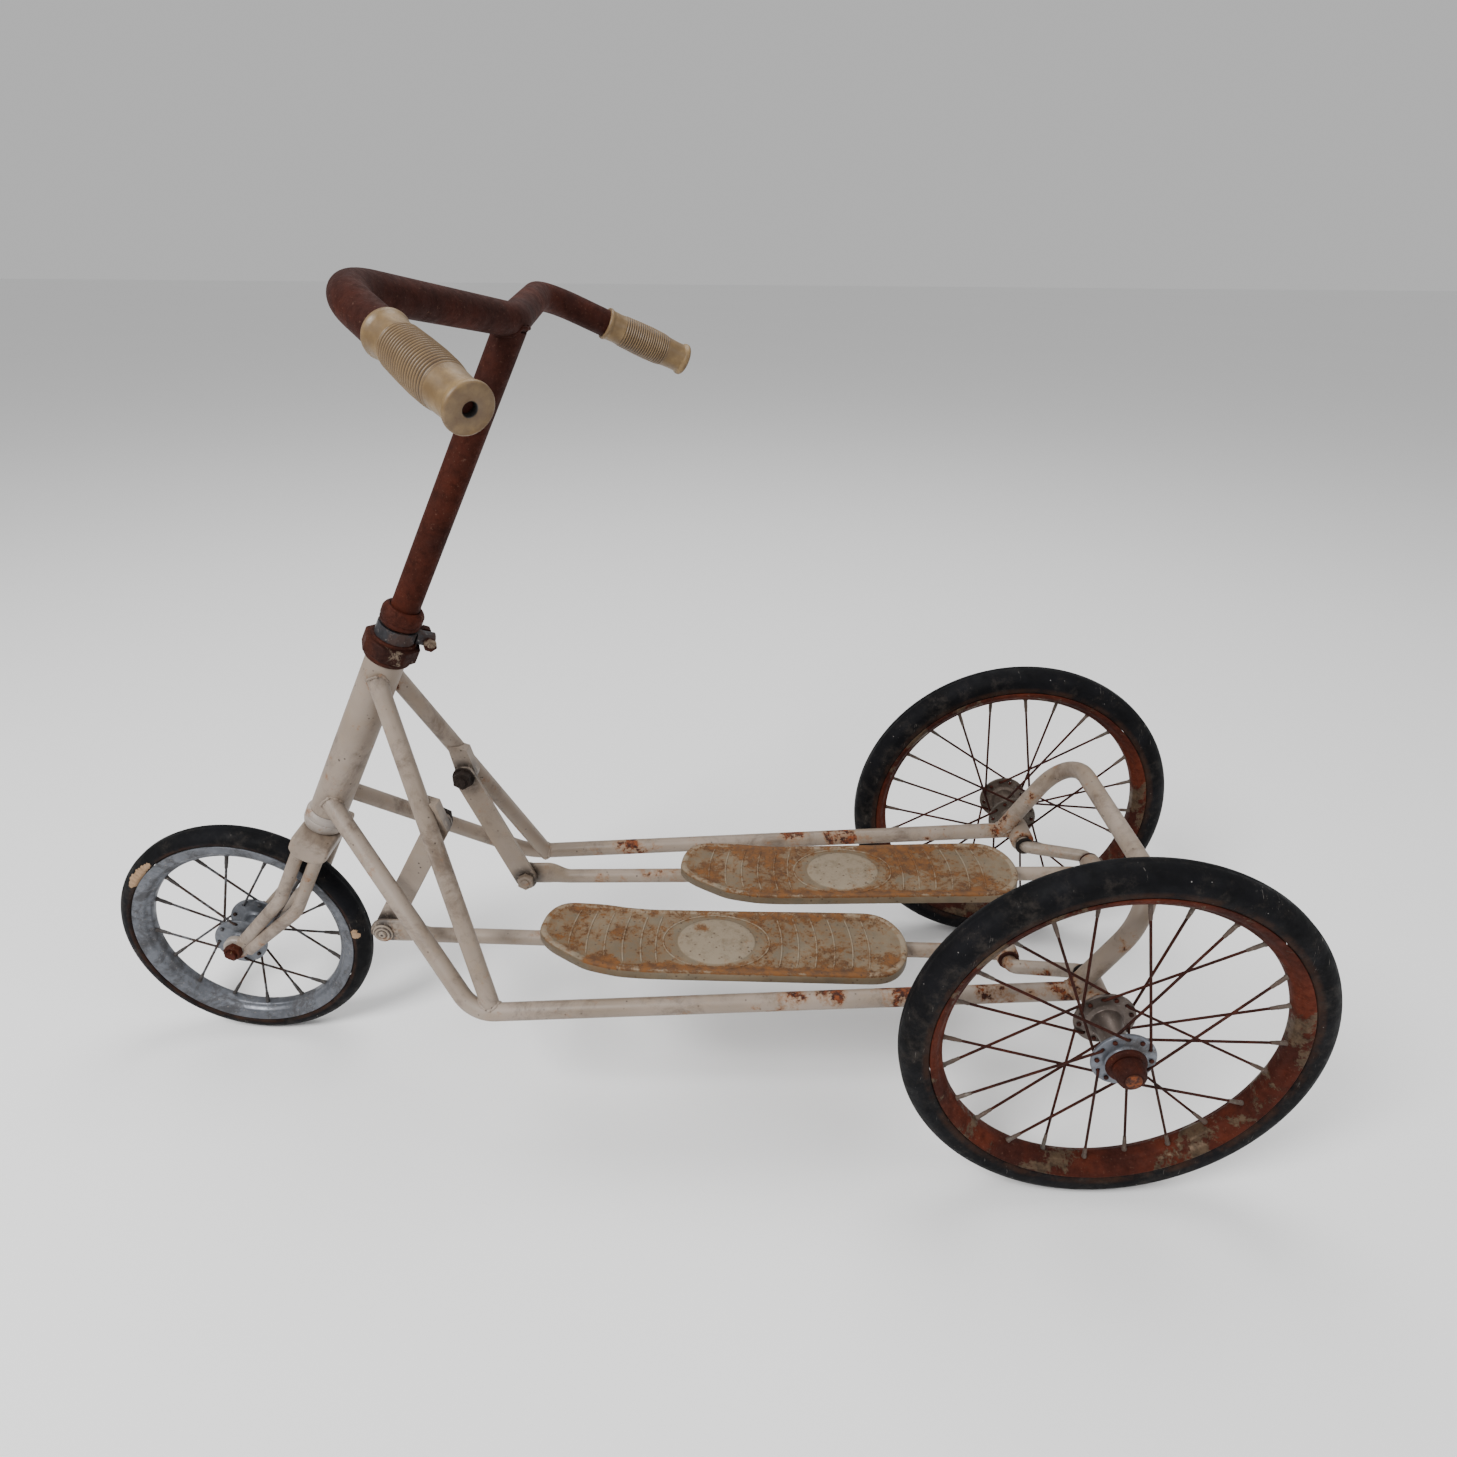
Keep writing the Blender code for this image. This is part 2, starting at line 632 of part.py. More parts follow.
def make_wheels():
    wheel_parts(
        "front", (FRONT_X, 0, FRONT_RADIUS), (FRONT_RADIUS, FRONT_TYRE_HALF_WIDTH),
        (FRONT_RIM_EDGE, FRONT_RIM_INNER), (0.0046, 0.0095, 0.0235, 0.0136, 0.0185),
        FRONT_SPOKES, math.radians(45),
    )
    for side, sign in (("left", -1), ("right", 1)):
        centre = (REAR_X, sign * REAR_WHEEL_Y, REAR_RADIUS)
        wheel_parts(
            side + "_wheel", centre, (REAR_RADIUS, REAR_TYRE_HALF_WIDTH),
            (REAR_RIM_EDGE, REAR_RIM_INNER), (AXLE_RADIUS + GAP, 0.0125, 0.0237, 0.0190, 0.0240),
            REAR_SPOKES, math.radians(60),
        )


# ---------------------------------------------------------------- crank axle and treadles

def make_crank():
    """One bent rod: two ends that carry the wheels, and two opposed throws between the bearings."""
    left, right = crank_pin(-1), crank_pin(1)
    path = [
        Vector((REAR_X, -AXLE_END, REAR_RADIUS)), Vector((REAR_X, -0.089, REAR_RADIUS)),
        spaced(left, -0.069), spaced(left, -0.026), spaced(right, 0.026), spaced(right, 0.069),
        Vector((REAR_X, 0.089, REAR_RADIUS)), Vector((REAR_X, AXLE_END, REAR_RADIUS)),
    ]
    tube("crank_axle", path, AXLE_RADIUS, PAINT, bend=0.008, steps=3, sides=4)
    for side, sign in (("left", -1), ("right", 1)):
        centre = (REAR_X, 0, REAR_RADIUS)
        low, high = sorted((sign * 0.1870, sign * 0.1905))
        collar(side + "_hub_cap", AXLE_RADIUS + GAP, 0.0150, low, high, centre, ACROSS, RUST)
        nut = rod(
            side + "_axle_nut", (REAR_X, sign * 0.1910, REAR_RADIUS), (REAR_X, sign * 0.2015, REAR_RADIUS),
            0.0118, RUST, sides=6,
        )
        hole = rod(
            side + "_axle_nut_hole", (REAR_X, sign * 0.18, REAR_RADIUS), (REAR_X, sign * 0.21, REAR_RADIUS),
            AXLE_RADIUS + GAP, cutter=True,
        )
        cut(nut, hole)


def foot_outline(inset=0.0):
    """The foot plate seen from above: straight-sided, round at the heel, its toe bulging to +Y."""
    half_length = PLATE_LENGTH / 2 - inset
    half = PLATE_HALF_WIDTH - inset
    points = [
        (half_length - 0.030 + 0.030 * math.sin(a), half * 0.96 * math.cos(a)) for a in arc(0, 180, 12)
    ]
    points += [(-0.062, -half), (-0.084, -half * 0.97)]
    points += [
        (-half_length + 0.012, -half * 0.30), (-half_length, half * 0.05),
        (-half_length + 0.003, half * 0.62),
    ]
    points += [
        (-half_length + 0.026 - 0.020 * math.cos(a), half * 0.72 + half * 0.30 * math.sin(a))
        for a in arc(35, 110, 5)
    ]
    points += [(-0.105, half * 0.99), (-0.084, half * 0.90), (-0.062, half * 0.86), (0.02, half * 0.90)]
    return points


def tray(name, inset, low, high, look=None, cutter=False):
    """The foot outline as a flat block between two heights."""
    corners = [Vector((x, y, low)) for x, y in foot_outline(inset)]
    return slab(name, corners, Vector((0, 0, high - low)), look, cutter)


def make_pedal(side, sign):
    """The bar from the crank pin to the link, with its sleeve, foot plate and front bolt."""
    rear = spaced(crank_pin(sign), sign * PEDAL_Y)
    front = spaced(link_pin(sign), sign * PEDAL_Y)
    ahead = (front - rear).normalized()
    sleeve_cutter = rod(
        side + "_sleeve_cutter", rear - ACROSS * 0.03, rear + ACROSS * 0.03, SLEEVE_RADIUS + 0.0004,
        cutter=True, sides=32,
    )
    collar(
        side + "_crank_sleeve", AXLE_RADIUS + GAP, SLEEVE_RADIUS, -SLEEVE_HALF, SLEEVE_HALF, rear,
        ACROSS, PAINT,
    )
    drop = Vector((-ahead.z, 0, ahead.x)) * BAR_DROP
    bar = rod(
        side + "_pedal_bar", rear + drop, front + drop - ahead * 0.0140, PEDAL_BAR_RADIUS, PAINT, sides=14
    )
    eye = rod(side + "_bar_eye_shape", front - ACROSS * 0.0045, front + ACROSS * 0.0045, 0.0115)
    flat = flattened_end(side + "_bar_flat_shape", front + drop * 0.5, ahead)
    hole = rod(side + "_bar_eye_hole", front - ACROSS * 0.02, front + ACROSS * 0.02, 0.0043, cutter=True)
    join(bar, eye, flat)
    cut(bar, sleeve_cutter, hole)
    outward = ACROSS * sign
    bolt = rod(side + "_pedal_bolt", front - outward * 0.0068, front + outward * 0.0070, BOLT_RADIUS, RUST)
    head = rod(side + "_pedal_bolt_head_shape", front + outward * 0.0049, front + outward * 0.0082, 0.0085)
    join(bolt, head)
    make_foot_plate(side, rear, ahead)


def flattened_end(name, front, ahead):
    """The last stretch of the bar, hammered flat on both sides so that the bolt's head can lie on it."""
    rise = Vector((-ahead.z, 0, ahead.x)) * 0.0080
    corners = [front - ahead * 0.030 + rise, front + rise, front - rise, front - ahead * 0.030 - rise]
    return plate(name, [(p.x, p.z) for p in corners], front.y - 0.0045, front.y + 0.0045)


def make_foot_plate(side, rear, ahead):
    """A pressed tray with two cross ribs that rest on the bar; both sides use the same pressing."""
    low = PEDAL_BAR_RADIUS - BAR_DROP + PLATE_GAP
    top = low + PLATE_HEIGHT
    pin_distance = LEFT_PLATE_FROM_PIN if side == "left" else RIGHT_PLATE_FROM_PIN
    pressing = tray(side + "_foot_plate", 0.0, low, top, PLATE_PAINT)
    hollow = tray(side + "_plate_hollow", PLATE_WALL, low - 0.01, top - PLATE_WALL, cutter=True)
    cut(pressing, hollow)
    ribs = []
    for number, x in enumerate((-0.080, 0.080)):
        rib = plate(
            side + "_plate_rib_%d_shape" % number,
            [(x - 0.008, low), (x + 0.008, low), (x + 0.008, top - 0.0008), (x - 0.008, top - 0.0008)],
            -0.030, 0.030,
        )
        ribs.append(rib)
    join(pressing, *ribs)
    lean = math.atan2(ahead.z, -ahead.x)
    middle = rear + ahead * pin_distance + Vector((0, PLATE_SHIFT_Y, 0))
    place = Matrix.Translation(middle) @ Matrix.Rotation(lean, 4, "Y")
    for item in (pressing, hollow, *ribs):
        item.matrix_world = place @ Matrix.Translation(item.location)


def make_link(side, sign):
    """The flat swing link that hangs from the lug and carries the front of the pedal bar."""
    top = Vector(LINK_PIVOT)
    foot = Vector(link_pin(sign))
    down = (foot - top).normalized()
    across = Vector((-down.y, down.x))
    start = math.atan2(across.y, across.x)
    half = 0.0100
    outline = [top + half * Vector((math.cos(start + a), math.sin(start + a))) for a in arc(0, 180, 8)]
    outline += [foot + half * Vector((math.cos(start + a), math.sin(start + a))) for a in arc(180, 360, 8)]
    low, high = sorted((sign * LINK_INNER_Y, sign * LINK_OUTER_Y))
    link = plate(side + "_link", outline, low, high, PAINT)
    holes = []
    for name, place in (("top", top), ("foot", foot)):
        holes.append(rod(
            side + "_link_" + name + "_hole", spaced(place, sign * 0.03), spaced(place, sign * 0.045),
            BOLT_RADIUS + GAP, cutter=True,
        ))
    cut(link, *holes)
    stub = rod(
        side + "_link_nut", spaced(foot, sign * 0.0285), spaced(foot, sign * 0.0392), BOLT_RADIUS, DARK_STEEL
    )
    hexagon = rod(
        side + "_link_nut_head_shape", spaced(foot, sign * 0.0298), spaced(foot, sign * 0.0352), 0.0078,
        sides=6,
    )
    join(stub, hexagon)


# ---------------------------------------------------------------- joints

def pivot(name, place, axis, parent, prefixes):
    """An empty on a joint's axis, its Z along the axis, that carries the pieces which turn with it."""
    empty = bpy.data.objects.new(name, None)
    empty.empty_display_size = 0.03
    parts.objects.link(empty)
    empty.matrix_world = Matrix.Translation(place) @ along(axis)
    if parent:
        attach(empty, parent)
    for obj in [*parts.objects, *cutters.objects]:
        if obj.type == "MESH" and obj.parent is None and obj.name.startswith(prefixes):
            attach(obj, empty)
    return empty


def attach(obj, parent):
    """Parents an object and keeps it where it is."""
    bpy.context.view_layer.update()
    world = obj.matrix_world.copy()
    obj.parent = parent
    obj.matrix_parent_inverse = parent.matrix_world.inverted()
    obj.matrix_world = world


def make_pivots():
    steering = pivot("steering_pivot", steer(HEAD_TOP), STEER_AXIS, None, (
        "fork_", "crown_cutter", "steerer_", "headset_", "clamp_", "stem_collar", "front_axle",
        "left_fork", "right_fork", "left_dropout", "right_dropout", "left_front", "right_front",
        "left_nut_seat", "right_nut_seat",
    ))
    pivot("stem_slide", steer(STEERER_TOP), STEER_AXIS, steering, (
        "stem", "handlebar", "left_grip", "right_grip",
    ))
    front = (FRONT_X, 0, FRONT_RADIUS)
    pivot("front_wheel_pivot", front, -ACROSS, steering, ("front_",))
    crank = pivot("crank_pivot", (REAR_X, 0, REAR_RADIUS), -ACROSS, None, (
        "crank_axle", "left_hub_cap", "right_hub_cap", "left_axle_nut", "right_axle_nut",
    ))
    for side, sign in (("left", -1), ("right", 1)):
        wheel = (REAR_X, sign * REAR_WHEEL_Y, REAR_RADIUS)
        pivot(side + "_wheel_pivot", wheel, -ACROSS, crank, (side + "_wheel",))
        rear = spaced(crank_pin(sign), sign * PEDAL_Y)
        pivot(side + "_pedal_pivot", rear, -ACROSS, crank, (
            side + "_pedal", side + "_crank", side + "_sleeve", side + "_bar", side + "_foot",
            side + "_plate",
        ))
        hang = spaced(LINK_PIVOT, sign * (LINK_INNER_Y + LINK_OUTER_Y) / 2)
        pivot(side + "_link_pivot", hang, -ACROSS, None, (
            side + "_link_top", side + "_link_foot", side + "_link_nut",
        ))
        attach(bpy.data.objects[side + "_link"], bpy.data.objects[side + "_link_pivot"])


def main():
    make_frame()
    make_fork()
    make_headset()
    make_handlebar()
    make_wheels()
    make_crank()
    for side, sign in (("left", -1), ("right", 1)):
        make_pedal(side, sign)
        make_link(side, sign)
    make_pivots()
    for obj in [*parts.objects, *cutters.objects]:
        if obj.parent is None:
            obj.location.y += MIDDLE_Y


main()
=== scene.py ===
import math
import random

import bmesh
import bpy
from mathutils import Matrix, Vector


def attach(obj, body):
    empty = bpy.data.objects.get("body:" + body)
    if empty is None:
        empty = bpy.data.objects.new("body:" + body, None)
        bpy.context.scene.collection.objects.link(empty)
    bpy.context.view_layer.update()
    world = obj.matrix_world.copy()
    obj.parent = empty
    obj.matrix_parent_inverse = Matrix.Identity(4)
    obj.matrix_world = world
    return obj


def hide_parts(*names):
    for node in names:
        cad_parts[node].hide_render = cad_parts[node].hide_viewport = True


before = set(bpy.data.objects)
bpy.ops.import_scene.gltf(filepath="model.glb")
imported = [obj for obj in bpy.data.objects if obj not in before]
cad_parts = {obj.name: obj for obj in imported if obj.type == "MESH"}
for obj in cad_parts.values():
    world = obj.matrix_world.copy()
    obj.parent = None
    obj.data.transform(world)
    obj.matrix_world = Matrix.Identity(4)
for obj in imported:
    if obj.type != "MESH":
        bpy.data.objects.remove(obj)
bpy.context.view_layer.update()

# ---------------------------------------------------------------- sizes shared with the CAD model

MIDDLE_Y = 0.0107
REAR_X, REAR_RADIUS, REAR_WHEEL_Y = 0.3445, 0.160, 0.1615
FRONT_X, FRONT_RADIUS = -0.3905, 0.114
RAKE = math.radians(26.9)
STEER_X = FRONT_X - 0.026
TUBE_RADIUS = 0.0075
RAIL_Y = 0.1146
RAIL_CORNER = (REAR_X - 0.494, 0.128)
RAIL_REAR_Z = 0.1635
UPPER_TUBE_FOOT = (REAR_X - 0.478, 0.1266)
HEAD_SIDE = 0.012
UPPER_TUBE_HEAD, LOWER_TUBE_HEAD = 0.4245, 0.2959
HEAD_RADIUS = 0.0155
HOOP_FOOT_X = REAR_X - 0.018
HOOP_TOP = (REAR_X + 0.037, 0.252)
CROWN_BOTTOM, CROWN_TOP, CUP_TOP, HEAD_TOP = 0.240, 0.262, 0.279, 0.4375
RACE_TOP, NUT_TOP, STEERER_TOP, COLLAR_TOP = 0.4435, 0.4565, 0.4702, 0.4860
STEM_RADIUS, STEM_FOOT = 0.011, 0.395
BAR_HEIGHT, BAR_TWIST, BAR_TILT = 0.7148, math.radians(9), math.radians(1.2)
BAR_CORNER, GRIP_END, GRIP_LENGTH = (-0.0415, 0.158), (0.0753, 0.232), 0.079
FORK_RADIUS, FORK_Y = 0.00575, 0.025
AXLE_RADIUS, AXLE_END, THROW = 0.006, 0.2045, 0.053
LINK_Y, PEDAL_Y, BEARING_Y, CAP_Y, NUT_Y = 0.040, 0.047, 0.112, 0.18875, 0.19625
LINK_PIVOT = (REAR_X - 0.5265, 0.261)
LINK_LENGTH, PEDAL_BAR_LENGTH = 0.120, 0.534
PEDAL_BAR_RADIUS, PEDAL_BAR_DROP = 0.0065, 0.004
PLATE_LENGTH, PLATE_HALF, PLATE_HEIGHT, PLATE_GAP = 0.312, 0.0425, 0.009, 0.0025
SPOKE_RADIUS, HOLE_INSET = 0.00108, 0.004
GRIP_RIB, PLATE_RIB = 0.00208, 0.0009
ACROSS = Vector((0, 1, 0))
SIDES = (("left", -1), ("right", 1))


def steer(s, back=0.0, side=0.0):
    """A point at a distance along the steering axis, behind it, and to the rider's right."""
    return Vector((
        STEER_X + s * math.sin(RAKE) + back * math.cos(RAKE),
        side,
        s * math.cos(RAKE) - back * math.sin(RAKE),
    ))


STEER_AXIS = steer(1) - steer(0)


def spaced(pair, y):
    """A point of the side view, given as (x, z), at a distance from the middle plane."""
    return Vector((pair[0], y, pair[1]))


def polar(radius, angle, height):
    return Vector((radius * math.cos(angle), radius * math.sin(angle), height))


def around(count):
    """The angles of a full turn in equal steps."""
    return [2 * math.pi * k / count for k in range(count)]


def crank_pin(sign):
    """The (x, z) of a crank throw. The two throws aren't quite opposite."""
    angle = math.radians(15 if sign < 0 else 4)
    return REAR_X + sign * THROW * math.cos(angle), REAR_RADIUS + sign * THROW * math.sin(angle)


def link_pin(sign):
    """The (x, z) where the link's free end meets the front of the pedal bar."""
    pin, pivot = Vector(crank_pin(sign)), Vector(LINK_PIVOT)
    reach = (pivot - pin).length
    near = (PEDAL_BAR_LENGTH ** 2 - LINK_LENGTH ** 2 + reach ** 2) / (2 * reach)
    off = math.sqrt(PEDAL_BAR_LENGTH ** 2 - near ** 2)
    ahead = (pivot - pin) / reach
    below = Vector((ahead.y, -ahead.x))
    if below.y > 0:
        below = -below
    return tuple(pin + ahead * near + below * off)


# ---------------------------------------------------------------- node materials

class Look:
    """A Principled material and the small set of nodes that feeds it."""

    def __init__(self, name, coat=0.0, specular=0.5):
        self.material = bpy.data.materials.new(name)
        self.material.use_nodes = True
        self.tree = self.material.node_tree
        self.shader = self.tree.nodes["Principled BSDF"]
        self.shader.inputs["Coat Weight"].default_value = coat
        self.shader.inputs["Coat Roughness"].default_value = 0.35
        self.shader.inputs["Specular IOR Level"].default_value = specular
        self.place = self.tree.nodes.new("ShaderNodeTexCoord").outputs["Object"]

    def feed(self, socket, value):
        if isinstance(value, bpy.types.NodeSocket):
            self.tree.links.new(value, socket)
        elif isinstance(value, tuple) and socket.type == "RGBA":
            socket.default_value = (*value, 1)
        else:
            socket.default_value = value

    def math(self, operation, first, second=0.0):
        node = self.tree.nodes.new("ShaderNodeMath")
        node.operation = operation
        self.feed(node.inputs[0], first)
        self.feed(node.inputs[1], second)
        return node.outputs[0]

    def times(self, *values):
        result = values[0]
        for value in values[1:]:
            result = self.math("MULTIPLY", result, value)
        return result

    def add(self, *values):
        result = values[0]
        for value in values[1:]:
            result = self.math("ADD", result, value)
        return result

    def stretched(self, scale, offset=(0, 0, 0)):
        node = self.tree.nodes.new("ShaderNodeMapping")
        self.feed(node.inputs["Vector"], self.place)
        node.inputs["Scale"].default_value = scale
        node.inputs["Location"].default_value = offset
        return node.outputs[0]

    def noise(self, scale, detail=4.0, roughness=0.6, vector=None, distortion=0.0):
        node = self.tree.nodes.new("ShaderNodeTexNoise")
        self.feed(node.inputs["Vector"], vector or self.place)
        node.inputs["Scale"].default_value = scale
        node.inputs["Detail"].default_value = detail
        node.inputs["Roughness"].default_value = roughness
        node.inputs["Distortion"].default_value = distortion
        return node.outputs["Fac"]

    def cells(self, scale):
        node = self.tree.nodes.new("ShaderNodeTexVoronoi")
        self.feed(node.inputs["Vector"], self.place)
        node.inputs["Scale"].default_value = scale
        return node.outputs["Distance"]

    def ramp(self, value, low, high, first=0.0, last=1.0):
        node = self.tree.nodes.new("ShaderNodeMapRange")
        node.interpolation_type = "SMOOTHSTEP"
        self.feed(node.inputs["Value"], value)
        for key, number in (("From Min", low), ("From Max", high), ("To Min", first), ("To Max", last)):
            node.inputs[key].default_value = number
        return node.outputs["Result"]

    def mix(self, share, first, second):
        node = self.tree.nodes.new("ShaderNodeMix")
        node.data_type = "RGBA"
        self.feed(node.inputs[0], share)
        self.feed(node.inputs[6], first)
        self.feed(node.inputs[7], second)
        return node.outputs[2]

    def near(self, centre, radius, soft=0.5):
        """1 within the radius of a point of the object, falling to 0 outside it."""
        node = self.tree.nodes.new("ShaderNodeVectorMath")
        node.operation = "DISTANCE"
        self.feed(node.inputs[0], self.place)
        node.inputs[1].default_value = centre
        return self.ramp(node.outputs["Value"], radius * (1 - soft), radius * (1 + soft), 1.0, 0.0)

    def part(self, axis):
        node = self.tree.nodes.new("ShaderNodeSeparateXYZ")
        self.feed(node.inputs[0], self.place)
        return node.outputs[axis]

    def radial(self):
        x, y = self.part("X"), self.part("Y")
        return self.math("SQRT", self.add(self.times(x, x), self.times(y, y)))

    def dots(self, scale, small, large, where, low, high):
        """Round specks, only where another pattern is high."""
        return self.times(self.ramp(self.cells(scale), small, large, 1.0, 0.0), self.ramp(where, low, high))

    def finish(self, colour, roughness, height, depth, metallic=0.0):
        self.feed(self.shader.inputs["Base Color"], colour)
        self.feed(self.shader.inputs["Roughness"], roughness)
        self.feed(self.shader.inputs["Metallic"], metallic)
        bump = self.tree.nodes.new("ShaderNodeBump")
        bump.inputs["Strength"].default_value = 1.0
        bump.inputs["Distance"].default_value = depth
        self.feed(bump.inputs["Height"], height)
        self.feed(self.shader.inputs["Normal"], bump.outputs["Normal"])
        return self.material


RUST_BRIGHT, RUST_DARK = (0.17, 0.042, 0.010), (0.028, 0.0075, 0.004)
GRIME = (0.022, 0.012, 0.008)


def paint(name, tint, chips=0.64, dirt=0.35, spots=(), grease=(), rings=0.0):
    """Aged paint: mottled, speckled and chipped down to rust. spots are rustier, grease is black,
    and rings is the pitch of dirty rings round a bolt head."""
    look = Look(name, specular=0.4)
    broad = look.noise(7, 4, 0.6)
    fine = look.noise(60, 6, 0.7)
    grain = look.noise(380, 3, 0.6)
    pale = tuple(min(1, c * 1.10) for c in tint)
    dull = (tint[0] * 0.80, tint[1] * 0.76, tint[2] * 0.70)
    colour = look.mix(look.ramp(broad, 0.34, 0.66), dull, pale)
    yellow = (tint[0] * 0.92, tint[1] * 0.80, tint[2] * 0.62)
    colour = look.mix(look.ramp(fine, 0.46, 0.74, 0.0, 0.45), colour, yellow)
    film = look.noise(24, 8, 0.78, distortion=0.4)
    colour = look.mix(look.ramp(film, 0.47, 0.70, 0.0, dirt), colour, (0.060, 0.036, 0.022))
    speck = look.dots(150, 0.05, 0.17, look.noise(33), 0.43, 0.56)
    colour = look.mix(look.times(speck, 0.85), colour, GRIME)
    for centre, radius in grease:
        mask = look.times(look.near(centre, radius, 0.45), look.ramp(look.noise(120, 5, 0.7), 0.34, 0.52))
        colour = look.mix(look.times(mask, 0.92), colour, (0.012, 0.007, 0.005))
    if rings:
        wave = look.math("SINE", look.times(look.radial(), 2 * math.pi / rings))
        mask = look.times(look.ramp(wave, 0.1, 0.8), look.ramp(look.noise(300, 4), 0.36, 0.50, 0.35, 1.0))
        colour = look.mix(look.times(mask, 0.85), colour, (0.020, 0.012, 0.009))
    field = look.noise(34, 9, 0.74)
    for centre, radius, strength in spots:
        field = look.add(field, look.times(look.near(centre, radius), strength))
    halo = look.ramp(field, chips - 0.085, chips + 0.005)
    chip = look.ramp(field, chips, chips + 0.022)
    colour = look.mix(look.times(halo, 0.70), colour, (0.20, 0.092, 0.034))
    rust = look.mix(look.ramp(look.noise(210, 5, 0.7), 0.40, 0.64), RUST_DARK, RUST_BRIGHT)
    colour = look.mix(chip, colour, rust)
    rough = look.add(look.ramp(broad, 0.3, 0.7, 0.42, 0.58), look.times(chip, 0.32), look.times(halo, 0.08))
    height = look.add(
        look.times(chip, -0.5), look.times(look.noise(210, 5, 0.7), look.add(look.times(chip, 0.5), 0.10)),
        look.times(grain, 0.07), look.times(fine, 0.16), look.times(speck, -0.25),
    )
    return look.finish(colour, rough, height, 0.0008)


def rust_metal(name, dark, bright, remains=None, share=0.0, shine=0.25, scale=1.0, remains_metal=0.0):
    """Rust over steel, with patches of an older finish left on it."""
    look = Look(name, specular=0.18)
    broad = look.noise(16 * scale, 5, 0.65)
    fine = look.noise(150 * scale, 7, 0.74)
    pits = look.cells(330 * scale)
    colour = look.mix(look.ramp(broad, 0.34, 0.68), dark, bright)
    colour = look.mix(look.ramp(fine, 0.40, 0.72, 0.0, 0.6), colour, tuple(0.5 * c for c in dark))
    colour = look.mix(
        look.ramp(look.noise(520 * scale, 3, 0.6), 0.62, 0.72, 0.0, 0.45), colour, (0.12, 0.060, 0.040)
    )
    left = 0.0
    if remains:
        field = look.noise(21 * scale, 9, 0.76, distortion=0.3)
        left = look.ramp(field, 0.66 - share, 0.70 - share)
        stained = look.mix(look.ramp(fine, 0.42, 0.66), remains, tuple(0.42 * c for c in remains))
        colour = look.mix(left, colour, stained)
    rough = look.add(look.ramp(fine, 0.3, 0.7, 0.62, 0.86), look.times(left, -0.30 + 0.15 * (1 - shine)))
    height = look.add(
        look.times(fine, 0.55), look.times(look.ramp(pits, 0.0, 0.3), 0.18), look.times(left, 0.30),
        look.times(broad, 0.25),
    )
    metal = look.add(0.12, look.times(left, remains_metal))
    return look.finish(colour, rough, height, 0.0007, metal)


def plated(name, tint, stain, amount, inner=False):
    """Dull zinc or galvanised steel with streaks and dark stains; inner browns a hub's inner end."""
    look = Look(name)
    broad = look.noise(26, 5, 0.62)
    spangle = look.cells(210)
    fine = look.noise(170, 6, 0.7)
    colour = look.mix(look.ramp(broad, 0.32, 0.68), tuple(0.62 * c for c in tint), tint)
    colour = look.mix(look.ramp(spangle, 0.1, 0.6, 0.25, 0.0), colour, tuple(min(1, 1.35 * c) for c in tint))
    if inner:
        old = look.ramp(look.part("Z"), -0.0185, -0.0150)
        brown = look.mix(fine, (0.070, 0.048, 0.036), (0.135, 0.105, 0.085))
        colour = look.mix(look.times(old, 0.9), colour, brown)
    field = look.noise(30, 9, 0.77, distortion=0.5)
    stained = look.ramp(field, 0.74 - amount, 0.86 - amount)
    colour = look.mix(look.times(stained, 0.72), colour, stain)
    dust = look.ramp(look.noise(460, 3, 0.6), 0.60, 0.72, 0.0, 0.35)
    colour = look.mix(dust, colour, (0.36, 0.32, 0.28))
    rough = look.add(look.ramp(fine, 0.3, 0.7, 0.34, 0.50), look.times(stained, 0.30))
    height = look.add(look.times(fine, 0.32), look.times(stained, 0.22), look.times(spangle, 0.06))
    metal = look.ramp(stained, 0.0, 1.0, 0.72, 0.30)
    return look.finish(colour, rough, height, 0.0004, metal)


